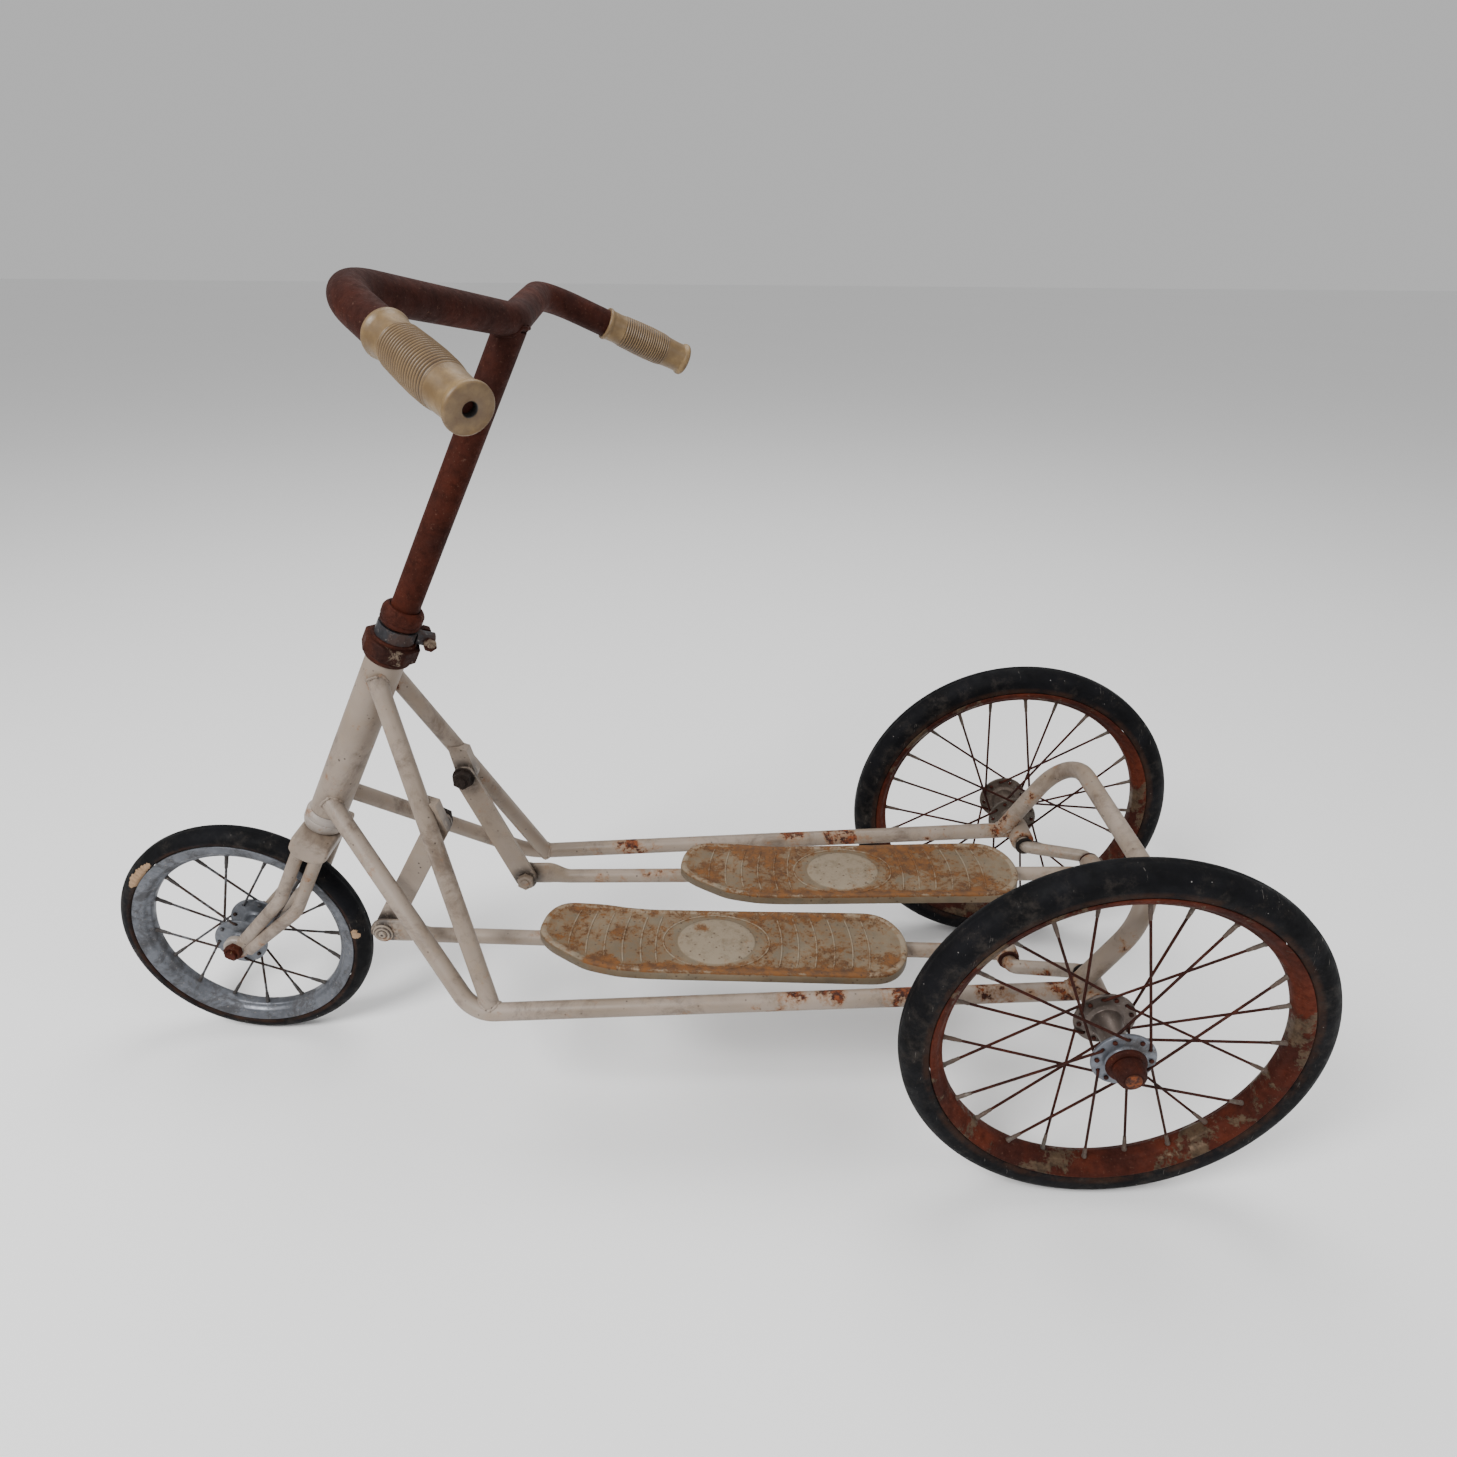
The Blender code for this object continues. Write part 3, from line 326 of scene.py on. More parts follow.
def rubber(name, inner, outer, tears=()):
    """Old black tyre rubber, dusty and scuffed, brown towards the rim, torn in places."""
    look = Look(name, specular=0.10)
    radius = look.radial()
    rise = look.ramp(radius, inner, outer)
    broad = look.noise(14, 5, 0.65)
    fine = look.noise(95, 7, 0.74)
    colour = look.mix(look.ramp(broad, 0.35, 0.65), (0.0010, 0.0010, 0.0014), (0.0040, 0.0041, 0.0056))
    dust = look.times(look.ramp(look.noise(38, 9, 0.80), 0.49, 0.70), look.ramp(rise, 0.0, 1.0, 0.85, 0.60))
    colour = look.mix(look.times(dust, 0.80), colour, (0.040, 0.033, 0.028))
    edge = look.times(look.ramp(rise, 0.02, 0.24, 1.0, 0.0), look.ramp(look.noise(46, 8, 0.75), 0.36, 0.62))
    colour = look.mix(look.times(edge, 0.75), colour, (0.032, 0.014, 0.008))
    lines = look.noise(60, 3, 0.6, look.stretched((9, 1.2, 3), (3, 1, 2)), distortion=1.2)
    scratch = look.times(look.ramp(lines, 0.665, 0.70), look.ramp(look.noise(19), 0.47, 0.58))
    colour = look.mix(look.times(scratch, 0.55), colour, (0.17, 0.155, 0.14))
    speck = look.dots(120, 0.03, 0.075, look.noise(25), 0.54, 0.6)
    colour = look.mix(look.times(speck, 0.75), colour, (0.40, 0.38, 0.36))
    torn = 0.0
    ragged = look.noise(150, 6, 0.7, look.stretched((1, 1, 1), (5, 0, 0)))
    for centre, reach in tears:
        patch = look.add(look.near(centre, reach * 1.2, 0.6), look.times(look.add(ragged, -0.5), 1.3))
        torn = look.add(torn, look.ramp(patch, 0.52, 0.60))
    if tears:
        cords = look.mix(ragged, (0.20, 0.12, 0.065), (0.40, 0.27, 0.17))
        colour = look.mix(look.ramp(torn, 0, 1), colour, cords)
    rough = look.add(look.ramp(fine, 0.3, 0.7, 0.52, 0.78), look.times(dust, 0.12))
    height = look.add(
        look.times(fine, 0.40), look.times(scratch, -0.30), look.times(torn, -0.8), look.times(dust, 0.10),
        look.times(look.cells(420), 0.10),
    )
    return look.finish(colour, rough, height, 0.0005)


def grip_plastic(name, length):
    """Aged ivory plastic with brown dirt that has settled in the ribs, and painted shade, near-black, inside
    the hole in its end.
    """
    look = Look(name, coat=0.06)
    along_grip = look.math("DIVIDE", look.part("Z"), length)
    radius = look.radial()
    middle = look.times(look.ramp(along_grip, 0.16, 0.24), look.ramp(along_grip, 0.76, 0.70))
    broad = look.noise(45, 5, 0.65)
    fine = look.noise(210, 6, 0.7)
    colour = look.mix(look.ramp(broad, 0.35, 0.66), (0.105, 0.060, 0.019), (0.195, 0.122, 0.046))
    wave = look.math("SINE", look.times(look.part("Z"), 2 * math.pi / GRIP_RIB))
    groove = look.times(look.ramp(wave, 0.35, -0.75), middle)
    colour = look.mix(look.times(middle, 0.50), colour, (0.165, 0.100, 0.045))
    colour = look.mix(look.times(groove, 0.90), colour, (0.030, 0.015, 0.006))
    smear = look.ramp(look.noise(36, 8, 0.78, look.stretched((1, 1, 0.5))), 0.49, 0.68, 0.0, 0.75)
    colour = look.mix(smear, colour, (0.080, 0.045, 0.022))
    ends = look.add(look.ramp(along_grip, 0.03, 0.0), look.ramp(along_grip, 0.97, 1.0))
    face = look.times(look.ramp(along_grip, 0.985, 1.0), look.ramp(radius, 0.011, 0.0035))
    colour = look.mix(look.times(ends, look.ramp(fine, 0.35, 0.65, 0.2, 0.7)), colour, (0.095, 0.054, 0.026))
    colour = look.mix(look.times(face, 0.55), colour, (0.080, 0.045, 0.022))
    # painted shade: the walls of the small hole in the grip's end are coloured near-black
    colour = look.mix(look.ramp(radius, 0.0044, 0.0038), colour, (0.004, 0.003, 0.002))
    rough = look.add(look.ramp(fine, 0.3, 0.7, 0.40, 0.58), look.times(smear, 0.25))
    height = look.add(look.times(fine, 0.25), look.times(smear, -0.2), look.times(look.noise(600, 2), 0.05))
    return look.finish(colour, rough, height, 0.0003)


def plate_paint(name, rust_spots):
    """The foot plates' cream paint: rust speckle all over, thick along the edges, bare on the oval."""
    look = Look(name, specular=0.35)
    x, y, z = look.part("X"), look.part("Y"), look.part("Z")
    broad = look.noise(11, 4, 0.6)
    fine = look.noise(85, 7, 0.74)
    colour = look.mix(look.ramp(broad, 0.35, 0.65), (0.092, 0.063, 0.034), (0.150, 0.112, 0.070))
    grey = look.ramp(look.noise(28, 7, 0.7), 0.44, 0.66, 0.0, 0.6)
    colour = look.mix(grey, colour, (0.088, 0.073, 0.050))
    raised = look.ramp(z, -0.00095, -0.00055)
    worn = look.times(raised, look.ramp(fine, 0.66, 0.45, 0.2, 0.75))
    colour = look.mix(worn, colour, (0.215, 0.170, 0.118))
    top = look.ramp(z, -0.0026, -0.0014)
    edge = look.times(look.ramp(look.math("ABSOLUTE", look.add(y, 0.002)), 0.022, 0.040), 0.11)
    line = look.times(look.ramp(look.math("ABSOLUTE", look.add(y, 0.0365)), 0.0048, 0.0012), 0.13)
    line = look.times(line, look.ramp(look.math("ABSOLUTE", look.add(x, -0.02)), 0.105, 0.07))
    oval_x = look.math("DIVIDE", look.add(x, 0.005), 0.034)
    oval_y = look.math("DIVIDE", look.add(y, 0.003), 0.030)
    oval = look.ramp(look.add(look.times(oval_x, oval_x), look.times(oval_y, oval_y)), 1.35, 0.75)
    field = look.add(look.noise(70, 10, 0.86), edge, line, look.times(oval, -0.075),
                     look.times(raised, -0.02))
    for centre, radius, strength in rust_spots:
        field = look.add(field, look.times(look.near(centre, radius, 0.8), strength))
    field = look.add(look.times(look.add(field, -0.38), look.ramp(top, 0, 1, 0.40, 1.0)), 0.38)
    stain = look.ramp(field, 0.47, 0.61)
    colour = look.mix(look.times(stain, 0.66), colour, (0.150, 0.064, 0.014))
    rusty = look.ramp(field, 0.560, 0.625)
    rust = look.mix(look.ramp(fine, 0.38, 0.62), (0.036, 0.0100, 0.0022), (0.145, 0.049, 0.0075))
    colour = look.mix(look.times(rusty, 0.70), colour, rust)
    speck = look.dots(200, 0.08, 0.25, look.noise(42, 5), 0.36, 0.50)
    colour = look.mix(look.times(speck, 0.85), colour, (0.050, 0.026, 0.014))
    rough = look.add(look.ramp(fine, 0.3, 0.7, 0.50, 0.68), look.times(rusty, 0.22))
    height = look.add(look.times(fine, 0.30), look.times(rusty, -0.25), look.times(speck, -0.30),
                      look.times(look.noise(420, 3), 0.08))
    return look.finish(colour, rough, height, 0.0006)


CREAM = (0.250, 0.203, 0.166)
FRAME_SPOTS = [
    ((0.105, -0.104, 0.150), 0.016, 0.13), ((0.140, -0.104, 0.153), 0.013, 0.12),
    ((0.198, -0.104, 0.156), 0.022, 0.17), ((0.262, -0.104, 0.160), 0.018, 0.12),
    ((-0.050, 0.125, 0.137), 0.016, 0.15), ((0.120, 0.125, 0.150), 0.016, 0.12),
    ((0.165, 0.125, 0.153), 0.018, 0.14), ((-0.140, 0.012, 0.128), 0.020, 0.05),
    ((0.330, -0.104, 0.163), 0.020, 0.10), ((0.330, 0.125, 0.163), 0.020, 0.10),
    ((-0.225, 0.0107, 0.380), 0.030, 0.07),
]
FRAME = paint("aged_frame_paint", CREAM, 0.640, 0.70, [
    (Vector(centre) - Vector((0, MIDDLE_Y, 0)), radius, strength) for centre, radius, strength in FRAME_SPOTS
])
CHIPPED = paint("chipped_white_paint", (0.31, 0.275, 0.25), 0.585, 0.50)
JOINT_PAINT = paint("grimy_joint_paint", (0.225, 0.180, 0.145), 0.575, 0.80)
BOLT_PAINT = paint("ringed_bolt_paint", (0.26, 0.215, 0.175), 0.60, 0.7, rings=0.0031)
DARK_RUST = rust_metal("red_brown_rust", (0.0215, 0.0027, 0.0004), (0.051, 0.0070, 0.0009))
NUT_RUST = rust_metal("rust_with_paint", (0.018, 0.0036, 0.0016), (0.052, 0.0100, 0.0030),
                      (0.17, 0.125, 0.088), 0.10, scale=2.0)
CAP_RUST = rust_metal("ochre_rust", (0.022, 0.0036, 0.0014), (0.056, 0.0090, 0.0026),
                      (0.25, 0.15, 0.07), 0.05, scale=2.0)
RIM_RUST = rust_metal("rusted_rim", (0.028, 0.0042, 0.0014), (0.088, 0.0140, 0.0034),
                      (0.082, 0.052, 0.031), 0.140, 0.6, 0.8, 0.30)
SPOKE_RUST = rust_metal("rusty_spoke", (0.020, 0.0040, 0.0020), (0.050, 0.0095, 0.0040), scale=2.5)
GREY_SPOKE = rust_metal("grey_spoke", (0.030, 0.018, 0.014), (0.050, 0.028, 0.021),
                        (0.105, 0.105, 0.110), 0.17, 0.6, 2.5, 0.6)
NIPPLE = plated("nickel_nipple", (0.130, 0.115, 0.098), (0.060, 0.030, 0.018), 0.34)
DARK_NIPPLE = plated("dark_nipple", (0.075, 0.072, 0.072), (0.022, 0.015, 0.012), 0.34)
ZINC = plated("dull_zinc", (0.165, 0.178, 0.205), (0.050, 0.040, 0.034), 0.24, inner=True)
BROWN_ZINC = plated("stained_zinc", (0.115, 0.095, 0.078), (0.050, 0.034, 0.024), 0.30, inner=True)
FRONT_ZINC = plated("front_hub_zinc", (0.130, 0.138, 0.155), (0.050, 0.044, 0.040), 0.22)
GALVANISED = plated("galvanised_rim", (0.135, 0.143, 0.162), (0.030, 0.028, 0.029), 0.27)
BAND = plated("steel_band", (0.040, 0.040, 0.045), (0.045, 0.018, 0.010), 0.33)
GREASE = rust_metal("black_grease", (0.010, 0.008, 0.007), (0.026, 0.017, 0.013), shine=0.8, scale=2.0)
REAR_RUBBER = rubber("rear_tyre_rubber", 0.1385, 0.160)
FRONT_RUBBER = rubber("front_tyre_rubber", 0.1005, 0.114, [
    (polar(0.104, math.radians(a), -0.0092), reach)
    for a, reach in ((33, 0.0028), (35, 0.0038), (37, 0.0044), (39, 0.0044), (41, 0.0042), (43, 0.0040),
                     (45, 0.0036), (47, 0.0034), (49, 0.0030), (51, 0.0028), (53, 0.0022),
                     (175, 0.0034), (177, 0.0040))
])
GRIP = grip_plastic("aged_ivory_grip", GRIP_LENGTH)
LEFT_PLATE = plate_paint("left_plate_paint", [
    ((-0.098, -0.033, 0), 0.011, 0.20), ((0.139, -0.018, 0), 0.008, 0.16), ((0.02, -0.034, 0), 0.03, 0.05),
    ((-0.13, 0.00, 0), 0.022, 0.07), ((-0.085, 0.004, 0), 0.012, 0.10), ((-0.018, 0.014, 0), 0.007, 0.19),
    ((0.10, -0.03, 0), 0.028, 0.07), ((0.045, 0.03, 0), 0.03, 0.05), ((-0.05, 0.0, 0), 0.014, 0.06),
])
RIGHT_PLATE = plate_paint("right_plate_paint", [
    ((-0.13, -0.004, 0), 0.018, 0.12), ((-0.085, 0.026, 0), 0.020, 0.12), ((-0.055, 0.010, 0), 0.022, 0.08),
    ((0.045, 0.022, 0), 0.026, 0.13), ((0.075, 0.0, 0), 0.020, 0.09), ((0.115, -0.024, 0), 0.018, 0.13),
    ((-0.075, -0.02, 0), 0.020, 0.09), ((0.01, -0.035, 0), 0.030, 0.08),
])
FRAME_CAD = paint(
    "aged_bracket_paint", CREAM, 0.665, 0.60, (),
    [(spaced(place(sign), sign * LINK_Y) + ACROSS * MIDDLE_Y, 0.0135)
     for sign in (-1, 1) for place in (lambda sign: LINK_PIVOT, link_pin)],
)
CRANK_PAINT = paint(
    "chipped_crank_paint", (0.265, 0.222, 0.185), 0.578, 0.65,
    [((REAR_X, sign * 0.205, REAR_RADIUS), 0.020, 0.3) for sign in (-1, 1)],
    [(spaced(crank_pin(sign), sign * y), 0.0075) for sign in (-1, 1) for y in (0.031, 0.063)]
    + [((REAR_X, sign * 0.094, REAR_RADIUS), 0.008) for sign in (-1, 1)],
)
BAR_PAINT = paint(
    "bar_paint", (0.240, 0.193, 0.154), 0.625, 0.60, (),
    [(spaced(link_pin(sign), sign * PEDAL_Y), 0.0135) for sign in (-1, 1)],
)


# ---------------------------------------------------------------- shapes

def piece(name, shape, look, body, replaced=(), matrix=None, bevel=0.0, angle=40):
    """Makes a visible piece from a bmesh: it rides a CAD body and stands for CAD nodes."""
    mesh = bpy.data.meshes.new(name)
    bmesh.ops.recalc_face_normals(shape, faces=shape.faces)
    shape.to_mesh(mesh)
    shape.free()
    obj = bpy.data.objects.new(name, mesh)
    bpy.context.scene.collection.objects.link(obj)
    obj.matrix_world = Matrix.Translation((0, MIDDLE_Y, 0)) @ (matrix or Matrix.Identity(4))
    mesh.materials.append(look)
    mesh.shade_smooth()
    mesh.set_sharp_from_angle(angle=math.radians(angle))
    if bevel:
        soften(obj, bevel)
    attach(obj, body)
    if replaced:
        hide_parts(*replaced)
    return obj


def soften(obj, width, segments=3):
    """Rounds the sharp edges, as casting, pressing and wear do."""
    change = obj.modifiers.new("worn_edges", "BEVEL")
    change.width = width
    change.segments = segments
    change.limit_method = "ANGLE"
    change.angle_limit = math.radians(38)
    change.harden_normals = True


def keep_cad(node, look, bevel=0.0005):
    """A CAD node that is shown as it is, with its own finish and worn edges."""
    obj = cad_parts[node]
    obj.data.materials.clear()
    obj.data.materials.append(look)
    weld = obj.modifiers.new("weld", "WELD")
    weld.merge_threshold = 0.00001
    soften(obj, bevel, 2)


def rounded_path(points, radius, steps):
    """The polyline with each inner corner replaced by an arc of the given bend radius."""
    points = [Vector(p) for p in points]
    path = [points[0]]
    for before, corner, after in zip(points, points[1:], points[2:]):
        to_before, to_after = (before - corner).normalized(), (after - corner).normalized()
        half = to_before.angle(to_after) / 2
        reach = min(
            radius / math.tan(half), 0.45 * (before - corner).length, 0.45 * (after - corner).length
        )
        bend = reach * math.tan(half)
        centre = corner + (to_before + to_after).normalized() * (bend / math.sin(half))
        first, second = corner + to_before * reach - centre, corner + to_after * reach - centre
        turn = first.angle(second)
        if turn < math.radians(2):
            path.append(corner)
            continue
        for step in range(steps + 1):
            t = step / steps
            mixed = (first * math.sin((1 - t) * turn) + second * math.sin(t * turn)) / math.sin(turn)
            path.append(centre + mixed)
    return path + [points[-1]]


def sweep(shape, path, radius, sides, closed=False, up=None):
    """Adds a tube along a path. radius is a number, or a function of the point's number that gives the
    two half widths."""
    count = len(path)
    tangents = []
    for k in range(count):
        before = path[k - 1] if k or closed else path[0]
        after = path[(k + 1) % count] if k < count - 1 or closed else path[-1]
        tangents.append((after - before).normalized())
    normal = Vector(up) if up else tangents[0].orthogonal()
    rings = []
    for k in range(count):
        if k:
            normal = tangents[k - 1].rotation_difference(tangents[k]) @ normal
        normal = (normal - tangents[k] * normal.dot(tangents[k])).normalized()
        side = tangents[k].cross(normal)
        high, wide = radius(k) if callable(radius) else (radius, radius)
        ring = []
        for a in around(sides):
            out, over = normal * (high * math.cos(a)), side * (wide * math.sin(a))
            ring.append(shape.verts.new(path[k] + out + over))
        rings.append(ring)
    pairs = list(zip(rings, rings[1:])) + ([(rings[-1], rings[0])] if closed else [])
    shift = 0
    for first, second in pairs:
        if closed and second is rings[0]:
            shift = min(range(sides), key=lambda n: (second[n].co - first[0].co).length)
        for j in range(sides):
            shape.faces.new((
                first[j], first[(j + 1) % sides],
                second[(j + 1 + shift) % sides], second[(j + shift) % sides],
            ))
    if not closed:
        shape.faces.new(rings[0][::-1])
        shape.faces.new(rings[-1])
    return shape


def filleted(loop, soft, steps=3):
    """A closed (radius, height) profile with its corners rounded."""
    points = []
    for k, corner in enumerate(loop):
        here = Vector(corner)
        before, after = Vector(loop[k - 1]), Vector(loop[(k + 1) % len(loop)])
        reach = min(soft, 0.4 * (before - here).length, 0.4 * (after - here).length)
        if here.x < 1e-6 or (before - here).angle(after - here, 0) > math.radians(165):
            points.append(here)
            continue
        first, last = here + (before - here).normalized() * reach, here + (after - here).normalized() * reach
        for step in range(steps + 1):
            t = step / steps
            points.append(first * (1 - t) ** 2 + here * (2 * t * (1 - t)) + last * t ** 2)
    return points


def lathe(loop, steps=96, soft=0.0, wobble=0.0):
    """A ring turned from a closed (radius, height) profile, about its own Z."""
    shape = bmesh.new()
    profile = filleted(loop, soft) if soft else [Vector(p) for p in loop]
    rings = []
    for a in around(steps):
        grow = 1 + wobble * math.sin(3 * a + 0.7)
        rings.append([shape.verts.new(polar(p.x * grow, a, p.y)) for p in profile])
    count = len(profile)
    for k in range(steps):
        first, second = rings[k], rings[(k + 1) % steps]
        for j in range(count):
            shape.faces.new((first[j], second[j], second[(j + 1) % count], first[(j + 1) % count]))
    bmesh.ops.remove_doubles(shape, verts=shape.verts, dist=1e-7)
    return shape


def skin(shape, rings):
    """Joins rows of corners, each row a closed ring, with faces."""
    count = len(rings[0])
    for first, second in zip(rings, rings[1:]):
        for j in range(count):
            shape.faces.new((first[j], first[(j + 1) % count], second[(j + 1) % count], second[j]))


def placed(centre, axis):
    """The matrix that stands a turned shape's Z along the axis at a centre."""
    return Matrix.Translation(centre) @ Vector(axis).to_track_quat("Z", "Y").to_matrix().to_4x4()


def distance_to(path, point):
    """The distance from a point to a polyline."""
    best = 1e9
    for first, second in zip(path, path[1:]):
        step = second - first
        share = max(0.0, min(1.0, (point - first).dot(step) / step.length_squared))
        best = min(best, (first + step * share - point).length)
    return best


def weld_bead(name, start, end, radius, target, target_radius, body, look, seed):
    """The lumpy bead where a tube that runs from start to end meets another tube."""
    ahead = (end - start).normalized()
    normal = ahead.orthogonal().normalized()
    side = ahead.cross(normal)
    count = 72
    path = []
    for a in around(count):
        ray = start + normal * (radius * math.cos(a)) + side * (radius * math.sin(a))
        low, high = 0.0, (end - start).length
        for step in range(400):
            t = low + (high - low) * step / 400
            if distance_to(target, ray + ahead * t) < target_radius:
                break
        path.append(ray + ahead * t)
    pick = random.Random(seed)
    phases = [pick.uniform(0, 6.28) for _ in range(3)]

    def width(k):
        a = 2 * math.pi * k / count
        lump = 1 + 0.20 * math.sin(9 * a + phases[0]) + 0.13 * math.sin(16 * a + phases[1])
        return 0.0013 * lump, 0.0012 * (lump + 0.1 * math.sin(23 * a + phases[2]))

    shape = sweep(bmesh.new(), path, width, 12, closed=True)
    piece(name, shape, look, body, angle=80)


# ---------------------------------------------------------------- frame

def rail_path(sign):
    slope = (RAIL_REAR_Z - RAIL_CORNER[1]) / (REAR_X - RAIL_CORNER[0])
    end = (REAR_X - 0.002, RAIL_REAR_Z - 0.002 * slope)
    return [steer(LOWER_TUBE_HEAD, 0, sign * HEAD_SIDE), spaced(RAIL_CORNER, sign * RAIL_Y),
            spaced(end, sign * RAIL_Y)]


def upper_path(sign):
    return [steer(UPPER_TUBE_HEAD, 0, sign * HEAD_SIDE), spaced(UPPER_TUBE_FOOT, sign * RAIL_Y)]


def make_frame():
    centre = placed(steer(0), STEER_AXIS)
    head = lathe([(0.0135, HEAD_TOP), (HEAD_RADIUS, HEAD_TOP), (HEAD_RADIUS, CUP_TOP + 0.0003),
                  (0.0135, CUP_TOP + 0.0003)], 96, 0.0006)
    piece("head_barrel", head, FRAME, "frame", ["head_tube"], centre)
    low, high = CROWN_TOP + 0.0003, CUP_TOP
    cup = lathe([(0.0132, high), (0.0158, high), (0.0168, high - 0.0016), (0.0176, high - 0.003),
                 (0.0176, high - 0.0065), (0.0170, high - 0.0072), (0.0176, high - 0.0079),
                 (0.0176, low + 0.005), (0.0170, low + 0.0025), (0.0162, low), (0.0132, low)], 96, 0.0005)
    piece("lower_cup_shell", cup, CHIPPED, "frame", ["lower_head_cup"], centre)
    low, high = HEAD_TOP + 0.0003, RACE_TOP
    race = lathe([(0.0132, high), (0.0185, high), (0.0185, low + 0.002), (0.0165, low), (0.0132, low)],
                 96, 0.0007)
    piece("upper_race_shell", race, NUT_RUST, "frame", ["upper_head_cup"], centre)
    head_line = [steer(CUP_TOP), steer(HEAD_TOP)]
    for side, sign in SIDES:
        rail = rounded_path(rail_path(sign), 0.035, 14)
        piece(side + "_rail_tube", sweep(bmesh.new(), rail, TUBE_RADIUS, 36), FRAME, "frame",
              [side + "_frame_rail"])
        upper = upper_path(sign)
        piece(side + "_upper_frame_tube", sweep(bmesh.new(), upper, TUBE_RADIUS, 36), FRAME, "frame",
              [side + "_upper_tube"])
        outward = upper[1] - upper[0]
        middle = upper[0] + outward * 0.5
        weld_bead(side + "_upper_weld", middle, upper[0], TUBE_RADIUS, head_line, HEAD_RADIUS, "frame",
                  FRAME, 3 + sign)
        weld_bead(side + "_lower_weld", rail[0].lerp(rail[1], 0.5), rail[0], TUBE_RADIUS, head_line,
                  HEAD_RADIUS, "frame", FRAME, 7 + sign)
        weld_bead(side + "_foot_weld", middle, upper[1], TUBE_RADIUS, rail, TUBE_RADIUS, "frame",
                  FRAME, 12 + sign)
        bearing = lathe([(AXLE_RADIUS + 0.0006, 0.015), (0.0096, 0.015), (0.0110, 0.0136), (0.0110, -0.0136),
                         (0.0096, -0.015), (AXLE_RADIUS + 0.0006, -0.015)], 64, 0.0006)
        piece(side + "_bearing_shell", bearing, JOINT_PAINT, "frame",
              [side + "_axle_bearing"], placed((REAR_X, sign * BEARING_Y, REAR_RADIUS), ACROSS))
        hoop = hoop_path()
        first, last = (hoop[0], hoop[1]) if sign < 0 else (hoop[-1], hoop[-2])
        weld_bead(side + "_hoop_weld", last, first, TUBE_RADIUS, rail, TUBE_RADIUS, "frame",
                  JOINT_PAINT, 20 + sign)
        keep_cad(side + "_link_lug", FRAME_CAD, 0.0009)
        keep_cad(side + "_link_bolt", GREASE, 0.0005)
    bent = sweep(bmesh.new(), rounded_path(hoop_path(), 0.052, 14), TUBE_RADIUS + 0.0004, 36)
    piece("rear_hoop_tube", bent, FRAME, "frame", ["rear_hoop"])


def hoop_path():
    rail_z = RAIL_REAR_Z - 0.0014
    return [Vector((HOOP_FOOT_X, -RAIL_Y, rail_z)), spaced(HOOP_TOP, -RAIL_Y), spaced(HOOP_TOP, RAIL_Y),
            Vector((HOOP_FOOT_X, RAIL_Y, rail_z))]


# ---------------------------------------------------------------- fork, headset and handlebar

def front_axle():
    dx = FRONT_X - STEER_X
    return (dx * math.sin(RAKE) + FRONT_RADIUS * math.cos(RAKE),
            dx * math.cos(RAKE) - FRONT_RADIUS * math.sin(RAKE))


def make_fork():
    crown = bmesh.new()
    rows = []
    half, across = 0.0165, 0.0315
    outline = [(0.0012 + half, CROWN_TOP - 0.0004)] + [
        (0.0012 + half * math.cos(a), CROWN_BOTTOM + 0.010 - 0.010 * math.sin(a))
        for a in [math.pi * k / 20 for k in range(21)]
    ] + [(0.0012 - half, CROWN_TOP - 0.0004)]
    for k in range(2):
        y = -across + 2 * across * k
        rows.append([crown.verts.new(steer(s, back, y)) for back, s in outline])
    skin(crown, rows)
    crown.faces.new(rows[0][::-1])
    crown.faces.new(rows[1])
    piece("crown_block", crown, FRAME, "steering", ["fork_crown"], bevel=0.0032)
    steerer = lathe([(0.0113, STEERER_TOP), (0.0127, STEERER_TOP), (0.0127, CROWN_TOP - 0.004),
                     (0.0113, CROWN_TOP - 0.004)], 72, 0.0004)
    piece("steerer_tube", steerer, NUT_RUST, "steering", [], placed(steer(0), STEER_AXIS))
    axle_s, axle_back = front_axle()
    hub = spaced((FRONT_X, FRONT_RADIUS), 0)
    for side, sign in SIDES:
        y = sign * FORK_Y
        legs = bmesh.new()
        front = rounded_path([steer(CROWN_BOTTOM + 0.006, -0.0068, y), steer(0.186, -0.0068, y),
                              steer(axle_s + 0.006, axle_back + 0.003, y)], 0.035, 16)
        rear = rounded_path([steer(CROWN_BOTTOM + 0.006, 0.0092, y), steer(0.180, 0.0092, y),
                             steer(axle_s + 0.002, axle_back + 0.010, y)], 0.035, 16)
        for path in (front, rear):
            last = len(path) - 1
            sweep(legs, path, lambda k: (FORK_RADIUS, FORK_RADIUS * (0.62 if k == last else 1.0)), 32,
                  up=(1, 0, 0.2))
        piece(side + "_fork_tubes", legs, FRAME, "steering", [side + "_fork_leg"])
        dropout = lathe([(0.0047, 0.0031), (0.0098, 0.0031), (0.0110, 0.0018), (0.0110, -0.0031),
                         (0.0047, -0.0031)], 56, 0.0005)
        piece(side + "_dropout", dropout, CHIPPED, "steering", [],
              placed(hub + ACROSS * (sign * 0.0244), ACROSS * sign))
        keep_cad(side + "_front_axle_nut", NUT_RUST, 0.0008)
    keep_cad("front_axle", CAP_RUST, 0.0006)


